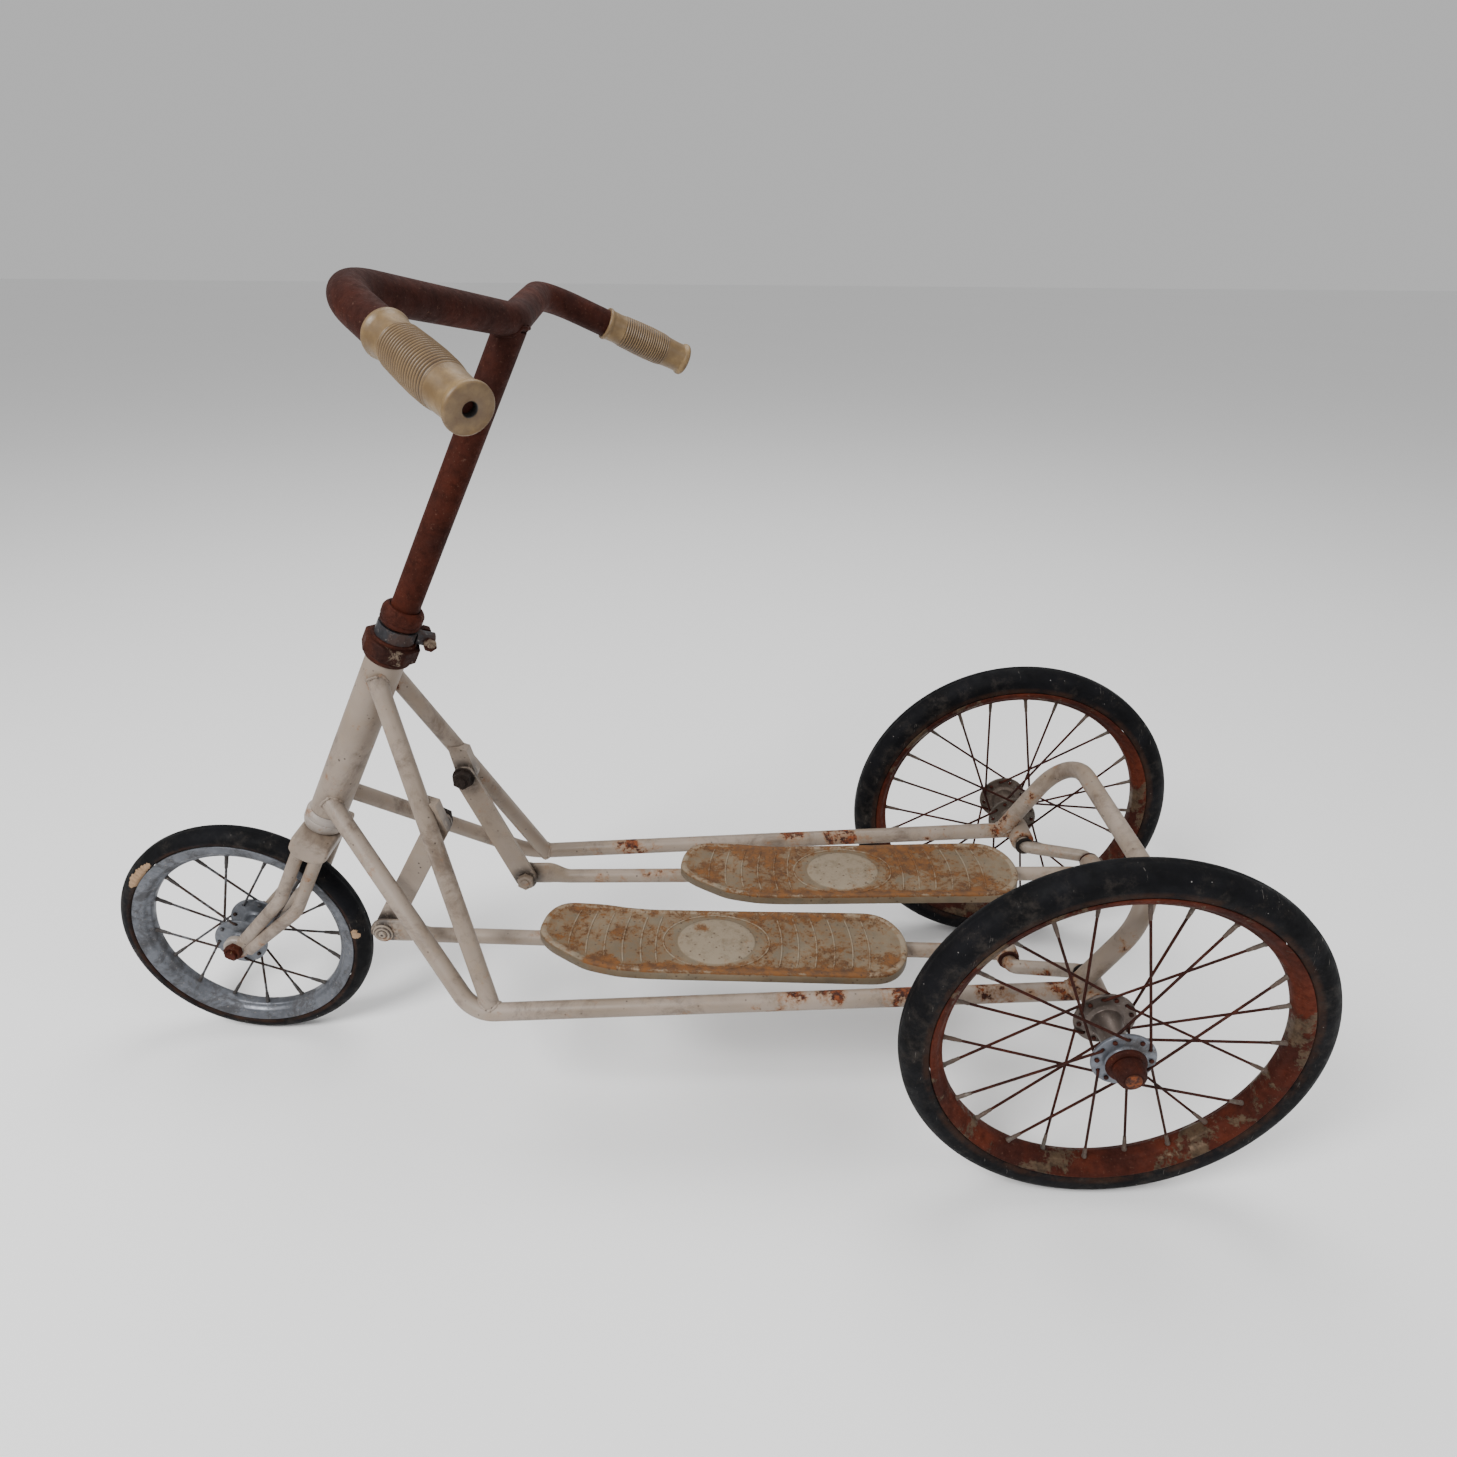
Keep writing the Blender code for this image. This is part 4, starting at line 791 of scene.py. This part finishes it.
def make_headset():
    centre = placed(steer(0), STEER_AXIS)
    keep_cad("headset_nut", NUT_RUST, 0.0012)
    keep_cad("clamp_collar", BAND, 0.0006)
    keep_cad("clamp_bolt", NUT_RUST, 0.0005)
    lock = lathe([(0.0129, NUT_TOP + 0.0022), (0.0172, NUT_TOP + 0.0022), (0.0180, NUT_TOP - 0.0002),
                  (0.0129, NUT_TOP - 0.0002)], 72, 0.0006)
    piece("lock_ring", lock, NUT_RUST, "steering", [], centre)
    base = STEERER_TOP + 0.0006
    collar = lathe([(STEM_RADIUS + 0.0003, COLLAR_TOP), (0.0132, COLLAR_TOP), (0.0150, COLLAR_TOP - 0.0018),
                    (0.0163, COLLAR_TOP - 0.0042), (0.0163, base + 0.0052), (0.0152, base + 0.0038),
                    (0.0160, base + 0.0024), (0.0150, base), (STEM_RADIUS + 0.0003, base)], 72, 0.0006)
    piece("stem_collar_ring", collar, CAP_RUST, "steering", ["stem_collar"], centre)


def bar_point(place, sign):
    spot = Matrix.Rotation(-BAR_TWIST, 2) @ Vector((place[0], place[1] * sign))
    return steer(BAR_HEIGHT + spot.y * math.tan(BAR_TILT), spot.x, spot.y)


def make_handlebar():
    path = [bar_point(GRIP_END, -1), bar_point(BAR_CORNER, -1), bar_point((0, 0), 1),
            bar_point(BAR_CORNER, 1), bar_point(GRIP_END, 1)]
    for end, inner in ((0, 1), (-1, -2)):
        path[end] = path[end] + (path[inner] - path[end]).normalized() * 0.004
    bar = rounded_path(path, 0.045, 20)
    piece("bar_tube", sweep(bmesh.new(), bar, STEM_RADIUS, 44), DARK_RUST, "handlebar_stem",
          ["handlebar"])
    stem = [steer(STEM_FOOT), steer(BAR_HEIGHT - 0.004)]
    piece("stem_tube", sweep(bmesh.new(), stem, STEM_RADIUS, 44), DARK_RUST, "handlebar_stem",
          ["stem"])
    weld_bead("bar_weld", steer(BAR_HEIGHT - 0.05), steer(BAR_HEIGHT), STEM_RADIUS, bar, STEM_RADIUS,
              "handlebar_stem", DARK_RUST, 31)
    for side, sign in SIDES:
        make_grip(side, sign)


def make_grip(side, sign):
    end = bar_point(GRIP_END, sign)
    ahead = (end - bar_point(BAR_CORNER, sign)).normalized()
    length = GRIP_LENGTH
    keys = [(0.0, 0.0125), (0.004, 0.0122), (0.012, 0.0119), (0.016, 0.0123), (0.030, 0.0130),
            (0.042, 0.0133), (0.052, 0.0130), (0.060, 0.0122), (0.068, 0.0118), (0.074, 0.0119)]
    profile = [(0.0112, 0.0), (0.0122, 0.0), (0.0130, 0.0006), (0.0132, 0.0018), (0.0128, 0.0030)]
    first, last, steps = 0.0145, 0.0145 + 21 * GRIP_RIB, 21 * 10
    height = 0.0042
    while height < first:
        profile.append((between(keys, height), height))
        height += 0.0012
    for k in range(steps + 1):
        height = first + (last - first) * k / steps
        wave = math.sin(2 * math.pi * height / GRIP_RIB)
        fade = min(1.0, k / 10, (steps - k) / 10)
        rib = 0.00042 * fade * math.copysign(abs(wave) ** 0.7, wave)
        profile.append((between(keys, height) + rib, height))
    height = last + 0.0012
    while height < length - 0.0052:
        profile.append((between(keys, height), height))
        height += 0.0012
    profile += [(0.0122, length - 0.0046), (0.0131, length - 0.0036), (0.0135, length - 0.0022),
                (0.0133, length - 0.0008), (0.0125, length), (0.0045, length), (0.0037, length - 0.0006),
                (0.0036, length - 0.0080), (0.0112, length - 0.0090)]
    piece(side + "_grip_sleeve", lathe(profile, 80), GRIP, "handlebar_stem",
          [side + "_grip"], placed(end - ahead * length, ahead), angle=60)


def between(keys, at):
    """Straight-line reading of a table of (place, value)."""
    for (low, first), (high, second) in zip(keys, keys[1:]):
        if at <= high:
            return first + (second - first) * max(0.0, (at - low) / (high - low))
    return keys[-1][1]


# ---------------------------------------------------------------- wheels

def wheel(prefix, body, centre, outer, half_width, edge, inner, hub, count, turn, looks):
    """Tyre, rim, hub shell, spokes and nipples of one wheel. Heights run along the axle."""
    tyre_look, rim_look, hub_look, spoke_look, nipple_look = looks
    middle = outer - half_width
    matrix = placed(centre, ACROSS)
    loop = []
    for k in range(61):
        a = math.radians(72 - 144 * k / 60)
        grow = half_width
        if abs(math.degrees(a)) < 34:
            grow -= 0.00045 * max(0.0, math.cos(3.6 * a)) ** 6
        loop.append((middle + grow * math.cos(a), grow * math.sin(a)))
    for a in (80, 88):
        loop.append((middle + 0.97 * half_width * math.cos(math.radians(-a)),
                     0.97 * half_width * math.sin(math.radians(-a))))
    loop += [(edge + 0.0012, -0.93 * half_width), (edge, -0.86 * half_width), (edge, 0.86 * half_width),
             (edge + 0.0012, 0.93 * half_width)]
    for a in (88, 80):
        loop.append((middle + 0.97 * half_width * math.cos(math.radians(a)),
                     0.97 * half_width * math.sin(math.radians(a))))
    piece(prefix + "_tyre_tread", lathe(loop, 200), tyre_look, body,
          [prefix + "_tyre"], matrix, angle=60)
    lip, brim, floor = half_width * 0.8, edge - 0.0003, inner + 0.0055
    rim = lathe([
        (inner, 0.18 * lip), (inner + 0.0006, 0.46 * lip), (inner + 0.0035, 0.62 * lip),
        (inner + 0.0055, 0.90 * lip), (edge - 0.0045, 1.02 * lip), (edge - 0.0012, 1.14 * lip),
        (brim, 1.10 * lip), (brim - 0.001, lip - 0.002), (floor, 0.3 * lip), (floor, -0.3 * lip),
        (brim - 0.001, -lip + 0.002), (brim, -1.10 * lip), (edge - 0.0012, -1.14 * lip),
        (edge - 0.0045, -1.02 * lip), (inner + 0.0055, -0.90 * lip), (inner + 0.0035, -0.62 * lip),
        (inner + 0.0006, -0.46 * lip), (inner, -0.18 * lip),
    ], 160, 0.0014, wobble=0.0008)
    piece(prefix + "_rim_ring", rim, rim_look, body, [prefix + "_rim"], matrix, angle=60)
    make_hub(prefix, body, matrix, hub, count, hub_look)
    make_spokes(prefix, body, matrix, hub, inner, count, turn, spoke_look, nipple_look)


def make_hub(prefix, body, matrix, hub, count, look):
    bore, barrel, flange, flange_at, end = hub
    thick = 0.0026
    shell = lathe([
        (bore, end), (barrel * 0.9, end), (barrel, end - 0.001), (barrel, flange_at + thick + 0.0008),
        (barrel + 0.0012, flange_at + thick), (flange, flange_at + thick), (flange, flange_at),
        (barrel + 0.002, flange_at), (barrel * 0.92, flange_at - 0.002), (barrel * 0.80, 0.0),
        (barrel * 0.92, -flange_at + 0.002), (barrel + 0.002, -flange_at), (flange, -flange_at),
        (flange, -flange_at - thick), (barrel + 0.0012, -flange_at - thick),
        (barrel, -flange_at - thick - 0.0008), (barrel, -end + 0.001), (barrel * 0.9, -end), (bore, -end),
    ], 96, 0.0006)
    obj = piece(prefix + "_hub_shell", shell, look, body, [prefix + "_hub"], matrix)
    holes = bmesh.new()
    for face in (-1, 1):
        for k in range(count):
            a = 2 * math.pi * (k + (0.5 if face > 0 else 0)) / count
            spot = polar(flange - HOLE_INSET, a, face * (flange_at + thick / 2))
            bmesh.ops.create_cone(holes, cap_ends=True, segments=16, radius1=0.0017, radius2=0.0017,
                                  depth=0.006, matrix=Matrix.Translation(spot))
    mesh = bpy.data.meshes.new(prefix + "_hole_cutter")
    holes.to_mesh(mesh)
    holes.free()
    cutter = bpy.data.objects.new(prefix + "_hole_cutter", mesh)
    bpy.context.scene.collection.objects.link(cutter)
    cutter.matrix_world = obj.matrix_world
    bpy.context.view_layer.update()
    change = obj.modifiers.new("flange_holes", "BOOLEAN")
    change.object = cutter
    change.solver = "EXACT"
    bpy.context.view_layer.update()
    cut = bpy.data.meshes.new_from_object(obj.evaluated_get(bpy.context.evaluated_depsgraph_get()))
    obj.modifiers.remove(change)
    obj.data = cut
    bpy.data.objects.remove(cutter, do_unlink=True)
    cut.shade_smooth()
    cut.set_sharp_from_angle(angle=math.radians(40))


def make_spokes(prefix, body, matrix, hub, inner, count, turn, look, nipple_look):
    flange, flange_at = hub[2:4]
    sections = [(0.0, 0.0011), (0.0005, 0.0014), (0.0042, 0.0015), (0.0050, 0.0017), (0.0118, 0.0017),
                (0.0124, 0.0021), (0.0140, 0.0021)]
    wires, nipples = bmesh.new(), bmesh.new()
    for face in (-1, 1):
        for k in range(count):
            rim_angle = 2 * math.pi * (k + (0.5 if face > 0 else 0.0)) / count
            hub_angle = rim_angle + (turn if k % 2 else -turn)
            outside = 1 if k % 2 else -1
            hole = polar(flange - HOLE_INSET, hub_angle, face * (flange_at + 0.0013))
            head = hole + Vector((0, 0, -face * outside * 0.0021))
            elbow = hole + Vector((0, 0, face * outside * 0.0022))
            finish = polar(inner - 0.0006, rim_angle, face * 0.002)
            away = (finish - elbow).normalized()
            path = rounded_path([head, elbow, finish], 0.0022, 5)
            sweep(wires, path, SPOKE_RADIUS, 10)
            bmesh.ops.create_uvsphere(
                wires, u_segments=10, v_segments=6, radius=0.0019,
                matrix=Matrix.Translation(head) @ Matrix.Diagonal((1, 1, 0.55, 1)),
            )
            low = finish - away * 0.0130
            stations = [low + away * place for place, _ in sections]
            sweep(nipples, stations, lambda n: (sections[n][1],) * 2, 10)
    piece(prefix + "_spoke_wires", wires, look, body, [], matrix, angle=60)
    piece(prefix + "_spoke_nipples", nipples, nipple_look, body, [], matrix, angle=60)


def make_wheels():
    wheel("front", "front_wheel", (FRONT_X, 0, FRONT_RADIUS), FRONT_RADIUS, 0.0123, 0.1005, 0.0855,
          (0.0046, 0.0095, 0.0235, 0.0136, 0.0185), 8, math.radians(45),
          (FRONT_RUBBER, GALVANISED, FRONT_ZINC, GREY_SPOKE, DARK_NIPPLE))
    for side, sign in SIDES:
        wheel(side + "_wheel", side + "_wheel", (REAR_X, sign * REAR_WHEEL_Y, REAR_RADIUS), REAR_RADIUS,
              0.0147, 0.1385, 0.127, (AXLE_RADIUS + 0.0003, 0.0125, 0.0237, 0.0190, 0.0240), 12,
              math.radians(60),
              (REAR_RUBBER, RIM_RUST, ZINC if sign < 0 else BROWN_ZINC, SPOKE_RUST, NIPPLE))


# ---------------------------------------------------------------- crank axle and treadles

def make_crank():
    left, right = crank_pin(-1), crank_pin(1)
    path = [Vector((REAR_X, -AXLE_END, REAR_RADIUS)), Vector((REAR_X, -0.089, REAR_RADIUS)),
            spaced(left, -0.069), spaced(left, -0.026), spaced(right, 0.026), spaced(right, 0.069),
            Vector((REAR_X, 0.089, REAR_RADIUS)), Vector((REAR_X, AXLE_END, REAR_RADIUS))]
    rod = rounded_path(path, 0.008, 8)
    rod = [rod[0], rod[0] + ACROSS * 0.0012] + rod[1:-1] + [rod[-1] - ACROSS * 0.0012, rod[-1]]
    last = len(rod) - 1
    shape = sweep(bmesh.new(), rod, lambda k: (AXLE_RADIUS * (0.82 if k in (0, last) else 1.0),) * 2, 32)
    piece("crank_rod", shape, CRANK_PAINT, "crank", ["crank_axle"])
    for side, sign in SIDES:
        outward = ACROSS * sign
        at = Vector((REAR_X, sign * CAP_Y, REAR_RADIUS))
        cap = lathe([(0.0063, 0.00175), (0.0120, 0.00175), (0.0144, 0.0008), (0.0150, -0.0006),
                     (0.0150, -0.00175), (0.0063, -0.00175)], 64, 0.0006)
        piece(side + "_cap_disc", cap, CAP_RUST, "crank", [side + "_hub_cap"],
              placed(at, outward))
        nut_at = Vector((REAR_X, sign * NUT_Y, REAR_RADIUS))
        nut = lathe([(0.0056, 0.0062), (0.0080, 0.0062), (0.0098, 0.0050), (0.0110, 0.0018),
                     (0.0117, -0.0030), (0.0117, -0.00525), (0.0056, -0.00525)], 64, 0.0010, wobble=0.02)
        piece(side + "_nut_dome", nut, CAP_RUST, "crank", [side + "_axle_nut"],
              placed(nut_at, outward))
        for number, y in enumerate((0.0905, 0.1290)):
            ring = lathe([(0.0055, 0.0012), (0.0086, 0.0012), (0.0090, -0.0012), (0.0055, -0.0012)],
                         48, 0.0005)
            piece("%s_axle_washer_%d" % (side, number), ring, GREASE, "crank", [],
                  placed((REAR_X, sign * y, REAR_RADIUS), ACROSS))


def make_pedal(side, sign, look):
    body = side + "_pedal"
    rear = spaced(crank_pin(sign), sign * PEDAL_Y)
    front = spaced(link_pin(sign), sign * PEDAL_Y)
    ahead = (front - rear).normalized()
    up = Vector((-ahead.z, 0, ahead.x))
    if up.z < 0:
        up = -up
    sleeve = lathe([(0.0063, 0.013), (0.0084, 0.013), (0.0095, 0.0118), (0.0095, -0.0118), (0.0084, -0.013),
                    (0.0063, -0.013)], 56, 0.0006)
    piece(side + "_sleeve_barrel", sleeve, JOINT_PAINT, body, [side + "_crank_sleeve"],
          placed(rear, ACROSS))
    for number, y in enumerate((-0.0142, 0.0142)):
        ring = lathe([(0.0056, 0.0010), (0.0088, 0.0010), (0.0088, -0.0010), (0.0056, -0.0010)], 48, 0.0004)
        piece("%s_sleeve_washer_%d" % (side, number), ring, NUT_RUST, body, [],
              placed(rear + ACROSS * y, ACROSS))
    drop = Vector((-ahead.z, 0, ahead.x)) * PEDAL_BAR_DROP
    path, widths = [], []
    length = (front - rear).length
    straight = length - 0.040
    for k in range(61):
        path.append(rear + drop + ahead * (k / 60 * straight))
        widths.append((PEDAL_BAR_RADIUS, PEDAL_BAR_RADIUS))
    for k in range(1, 25):
        share = k / 24
        t = straight + 0.0505 * share
        ease = min(1.0, share / 0.42)
        ease = ease * ease * (3 - 2 * ease)
        past = max(0.0, t - length) / 0.0117
        tall = (PEDAL_BAR_RADIUS + 0.0047 * ease) * math.sqrt(max(0.02, 1 - past ** 2))
        path.append(rear + drop * (1 - ease) + ahead * t)
        widths.append((tall, PEDAL_BAR_RADIUS - 0.0021 * ease))
    bar = sweep(bmesh.new(), path, lambda k: widths[k], 36, up=up)
    piece(side + "_bar_tube", bar, BAR_PAINT, body, [side + "_pedal_bar"])
    outward = ACROSS * sign
    bolt = lathe([(0.0004, 0.0036), (0.0024, 0.0036), (0.0031, 0.0028), (0.0034, 0.0020), (0.0046, 0.0020),
                  (0.0052, 0.0029), (0.0062, 0.0030), (0.0068, 0.0014), (0.0082, 0.0012), (0.0086, 0.0006),
                  (0.0086, -0.0002), (0.0040, -0.0002), (0.0040, -0.0118), (0.0004, -0.0118)], 56, 0.0004)
    piece(side + "_bolt_head", bolt, BOLT_PAINT, body, [side + "_pedal_bolt"],
          placed(front + outward * 0.0049, outward))
    make_plate(side, rear, ahead, look, body)


def foot_outline():
    """The foot plate seen from above: straight-sided, round at the heel, its toe bulging to +Y."""
    half_length, half = PLATE_LENGTH / 2, PLATE_HALF

    def arc(first, last, count):
        return [math.radians(first + (last - first) * i / count) for i in range(count + 1)]

    points = [
        (half_length - 0.030 + 0.030 * math.sin(a), half * 0.96 * math.cos(a)) for a in arc(0, 180, 12)
    ]
    points += [(0.02, -half * 0.985), (-0.03, -half), (-0.062, -half), (-0.084, -half * 0.97),
               (-0.112, -half * 0.80)]
    points += [(-half_length + 0.012, -half * 0.30), (-half_length, half * 0.05),
               (-half_length + 0.003, half * 0.62)]
    points += [
        (-half_length + 0.026 - 0.020 * math.cos(a), half * 0.72 + half * 0.30 * math.sin(a))
        for a in arc(35, 110, 5)
    ]
    points += [(-0.105, half * 0.99), (-0.084, half * 0.90), (-0.062, half * 0.86), (0.02, half * 0.90),
               (0.08, half * 0.94)]
    return points


def smooth_outline(inset, count=200, rounds=5):
    """The outline evenly spaced, softened and moved inwards."""
    points = [Vector(p) for p in foot_outline()]
    edges = list(zip(points, points[1:] + points[:1]))
    total = sum((last - first).length for first, last in edges)
    curve, walked, k = [], 0.0, 0
    for step in range(count):
        at = total * step / count
        while at > walked + (edges[k][1] - edges[k][0]).length:
            walked += (edges[k][1] - edges[k][0]).length
            k += 1
        first, last = edges[k]
        curve.append(first.lerp(last, (at - walked) / (last - first).length))
    for _ in range(rounds):
        curve = [here * 0.5 + (curve[n - 1] + curve[(n + 1) % count]) * 0.25 for n, here in enumerate(curve)]
    moved = []
    for n, point in enumerate(curve):
        step = (curve[(n + 1) % count] - curve[n - 1]).normalized()
        moved.append(point + Vector((step.y, -step.x)) * inset)
    return moved


def make_plate(side, rear, ahead, look, body):
    """A pressed tray: rolled edge, raised rim, raised oval and curved ribs; its top is at local z = 0."""
    wall, floor = 0.0016, -0.0011
    shape = bmesh.new()
    levels = [(0.0085, floor - wall), (0.0030, -0.0010 - wall), (0.0016, -0.0026 - wall),
              (0.0016, -PLATE_HEIGHT), (0.0002, -PLATE_HEIGHT), (0.0, -PLATE_HEIGHT + 0.0004),
              (0.0, -0.0022), (0.0003, -0.0011), (0.0010, -0.0003), (0.0020, 0.0), (0.0034, 0.0002),
              (0.0046, -0.0003), (0.0062, -0.0010), (0.0085, floor)]
    rings = [[shape.verts.new((p.x, p.y, z)) for p in smooth_outline(inset)] for inset, z in levels]
    skin(shape, rings)
    shape.faces.new(rings[-1])
    shape.faces.new(rings[0][::-1])
    middle = Vector((-0.005, -0.003, 0))
    dome = []
    for grow, rise in ((1.06, -0.0003), (1.0, 0.0003), (0.94, 0.0009), (0.86, 0.0012), (0.5, 0.0014),
                       (0.02, 0.0015)):
        dome.append([shape.verts.new(oval_point(middle, 0.0325 * grow, 0.0285 * grow, a, floor + rise))
                     for a in around(72)])
    skin(shape, dome)
    shape.faces.new(dome[-1])
    ring = [oval_point(middle, 0.0445, 0.0335, a, floor - 0.0001) for a in around(90)]
    sweep(shape, ring, PLATE_RIB, 10, closed=True, up=(0, 0, 1))
    edge = smooth_outline(0.0075)
    for place, bow in ((-0.128, -1), (-0.113, -1), (-0.098, -1), (-0.083, -1), (-0.068, -1), (-0.0555, -1),
                       (0.050, 1), (0.064, 1), (0.079, 1), (0.094, 1), (0.109, 1), (0.123, 1)):
        line = []
        for k in range(49):
            y = -0.040 + 0.080 * k / 48
            spot = Vector((place - bow * 3.6 * (y + 0.003) ** 2, y))
            if inside(spot, edge):
                line.append(Vector((spot.x, spot.y, floor - 0.0001)))
        if len(line) > 6:
            last = len(line) - 1
            sweep(shape, line, lambda k: (PLATE_RIB * min(1.0, 0.3 + k / 4, 0.3 + (last - k) / 4),) * 2,
                  10, up=(0, 0, 1))
    for x in (-0.080, 0.080):
        cross_rib = Matrix.Translation((x, 0, -0.0056)) @ Matrix.Diagonal((0.016, 0.060, 0.0062, 1))
        bmesh.ops.create_cube(shape, size=1.0, matrix=cross_rib)
    lean = math.atan2(ahead.z, -ahead.x)
    pin_distance = 0.243 if side == "left" else 0.233
    level = PEDAL_BAR_RADIUS - PEDAL_BAR_DROP + PLATE_GAP + PLATE_HEIGHT
    middle = rear + ahead * pin_distance + Vector((0, -0.0145, 0))
    matrix = Matrix.Translation(middle) @ Matrix.Rotation(lean, 4, "Y") @ Matrix.Translation((0, 0, level))
    piece(side + "_plate_pressing", shape, look, body, [side + "_foot_plate"], matrix,
          angle=50)


def oval_point(middle, half_length, half_width, angle, height):
    return Vector((middle.x + half_length * math.cos(angle), middle.y + half_width * math.sin(angle),
                   height))


def inside(point, loop):
    """Whether a point lies inside a closed outline."""
    found = False
    for k, here in enumerate(loop):
        before = loop[k - 1]
        if (here.y > point.y) != (before.y > point.y):
            if point.x < here.x + (point.y - here.y) * (before.x - here.x) / (before.y - here.y):
                found = not found
    return found


def make_links():
    for side, _ in SIDES:
        keep_cad(side + "_link", FRAME_CAD, 0.0010)
        keep_cad(side + "_link_nut", JOINT_PAINT, 0.0005)


# ---------------------------------------------------------------- light, floor and camera

def make_studio():
    bpy.ops.mesh.primitive_plane_add(size=40, location=(0, 0, -0.0002))
    floor = bpy.context.object
    floor.name = "studio_floor"
    look = Look("studio_floor", specular=0.2)
    look.finish(look.mix(look.noise(0.7, 2), (0.90, 0.90, 0.90), (0.92, 0.92, 0.92)), 0.85, 0.0, 0.0001)
    floor.data.materials.append(look.material)
    world = bpy.data.worlds.new("studio")
    bpy.context.scene.world = world
    world.use_nodes = True
    world.node_tree.nodes["Background"].inputs["Color"].default_value = (1, 1, 1, 1)
    world.node_tree.nodes["Background"].inputs["Strength"].default_value = 0.56
    for name, place, aim, wide, power in (
        ("key_light", (-1.3, -1.5, 2.3), (0, 0, 0.2), 1.1, 88),
        ("fill_light", (1.9, -1.1, 1.5), (0.1, 0, 0.2), 1.5, 14),
        ("top_light", (0.2, 0.9, 2.6), (0, 0, 0.1), 1.6, 30),
    ):
        data = bpy.data.lights.new(name, "AREA")
        data.shape = "DISK"
        data.size = wide
        data.energy = power
        lamp = bpy.data.objects.new(name, data)
        bpy.context.scene.collection.objects.link(lamp)
        lamp.location = place
        lamp.rotation_euler = (Vector(aim) - Vector(place)).to_track_quat("-Z", "Y").to_euler()


def make_camera():
    yaw, pitch, roll = -0.0133, 0.4743, -0.0081
    forward = Vector((math.sin(yaw) * math.cos(pitch), math.cos(yaw) * math.cos(pitch), -math.sin(pitch)))
    right = Vector((math.cos(yaw), -math.sin(yaw), 0))
    down = forward.cross(right)
    across = right * math.cos(roll) + down * math.sin(roll)
    lower = down * math.cos(roll) - right * math.sin(roll)
    data = bpy.data.cameras.new("photo_camera")
    data.sensor_width = 36
    data.lens = 23.20
    data.clip_start = 0.01
    camera = bpy.data.objects.new("photo_camera", data)
    bpy.context.scene.collection.objects.link(camera)
    turn = Matrix((across, -lower, -forward)).transposed().to_4x4()
    camera.matrix_world = Matrix.Translation((0.0626, -0.6727, 0.6825)) @ turn
    bpy.context.scene.camera = camera


def main():
    make_frame()
    make_fork()
    make_headset()
    make_handlebar()
    make_wheels()
    make_crank()
    make_pedal("left", -1, LEFT_PLATE)
    make_pedal("right", 1, RIGHT_PLATE)
    make_links()
    make_studio()
    make_camera()


main()
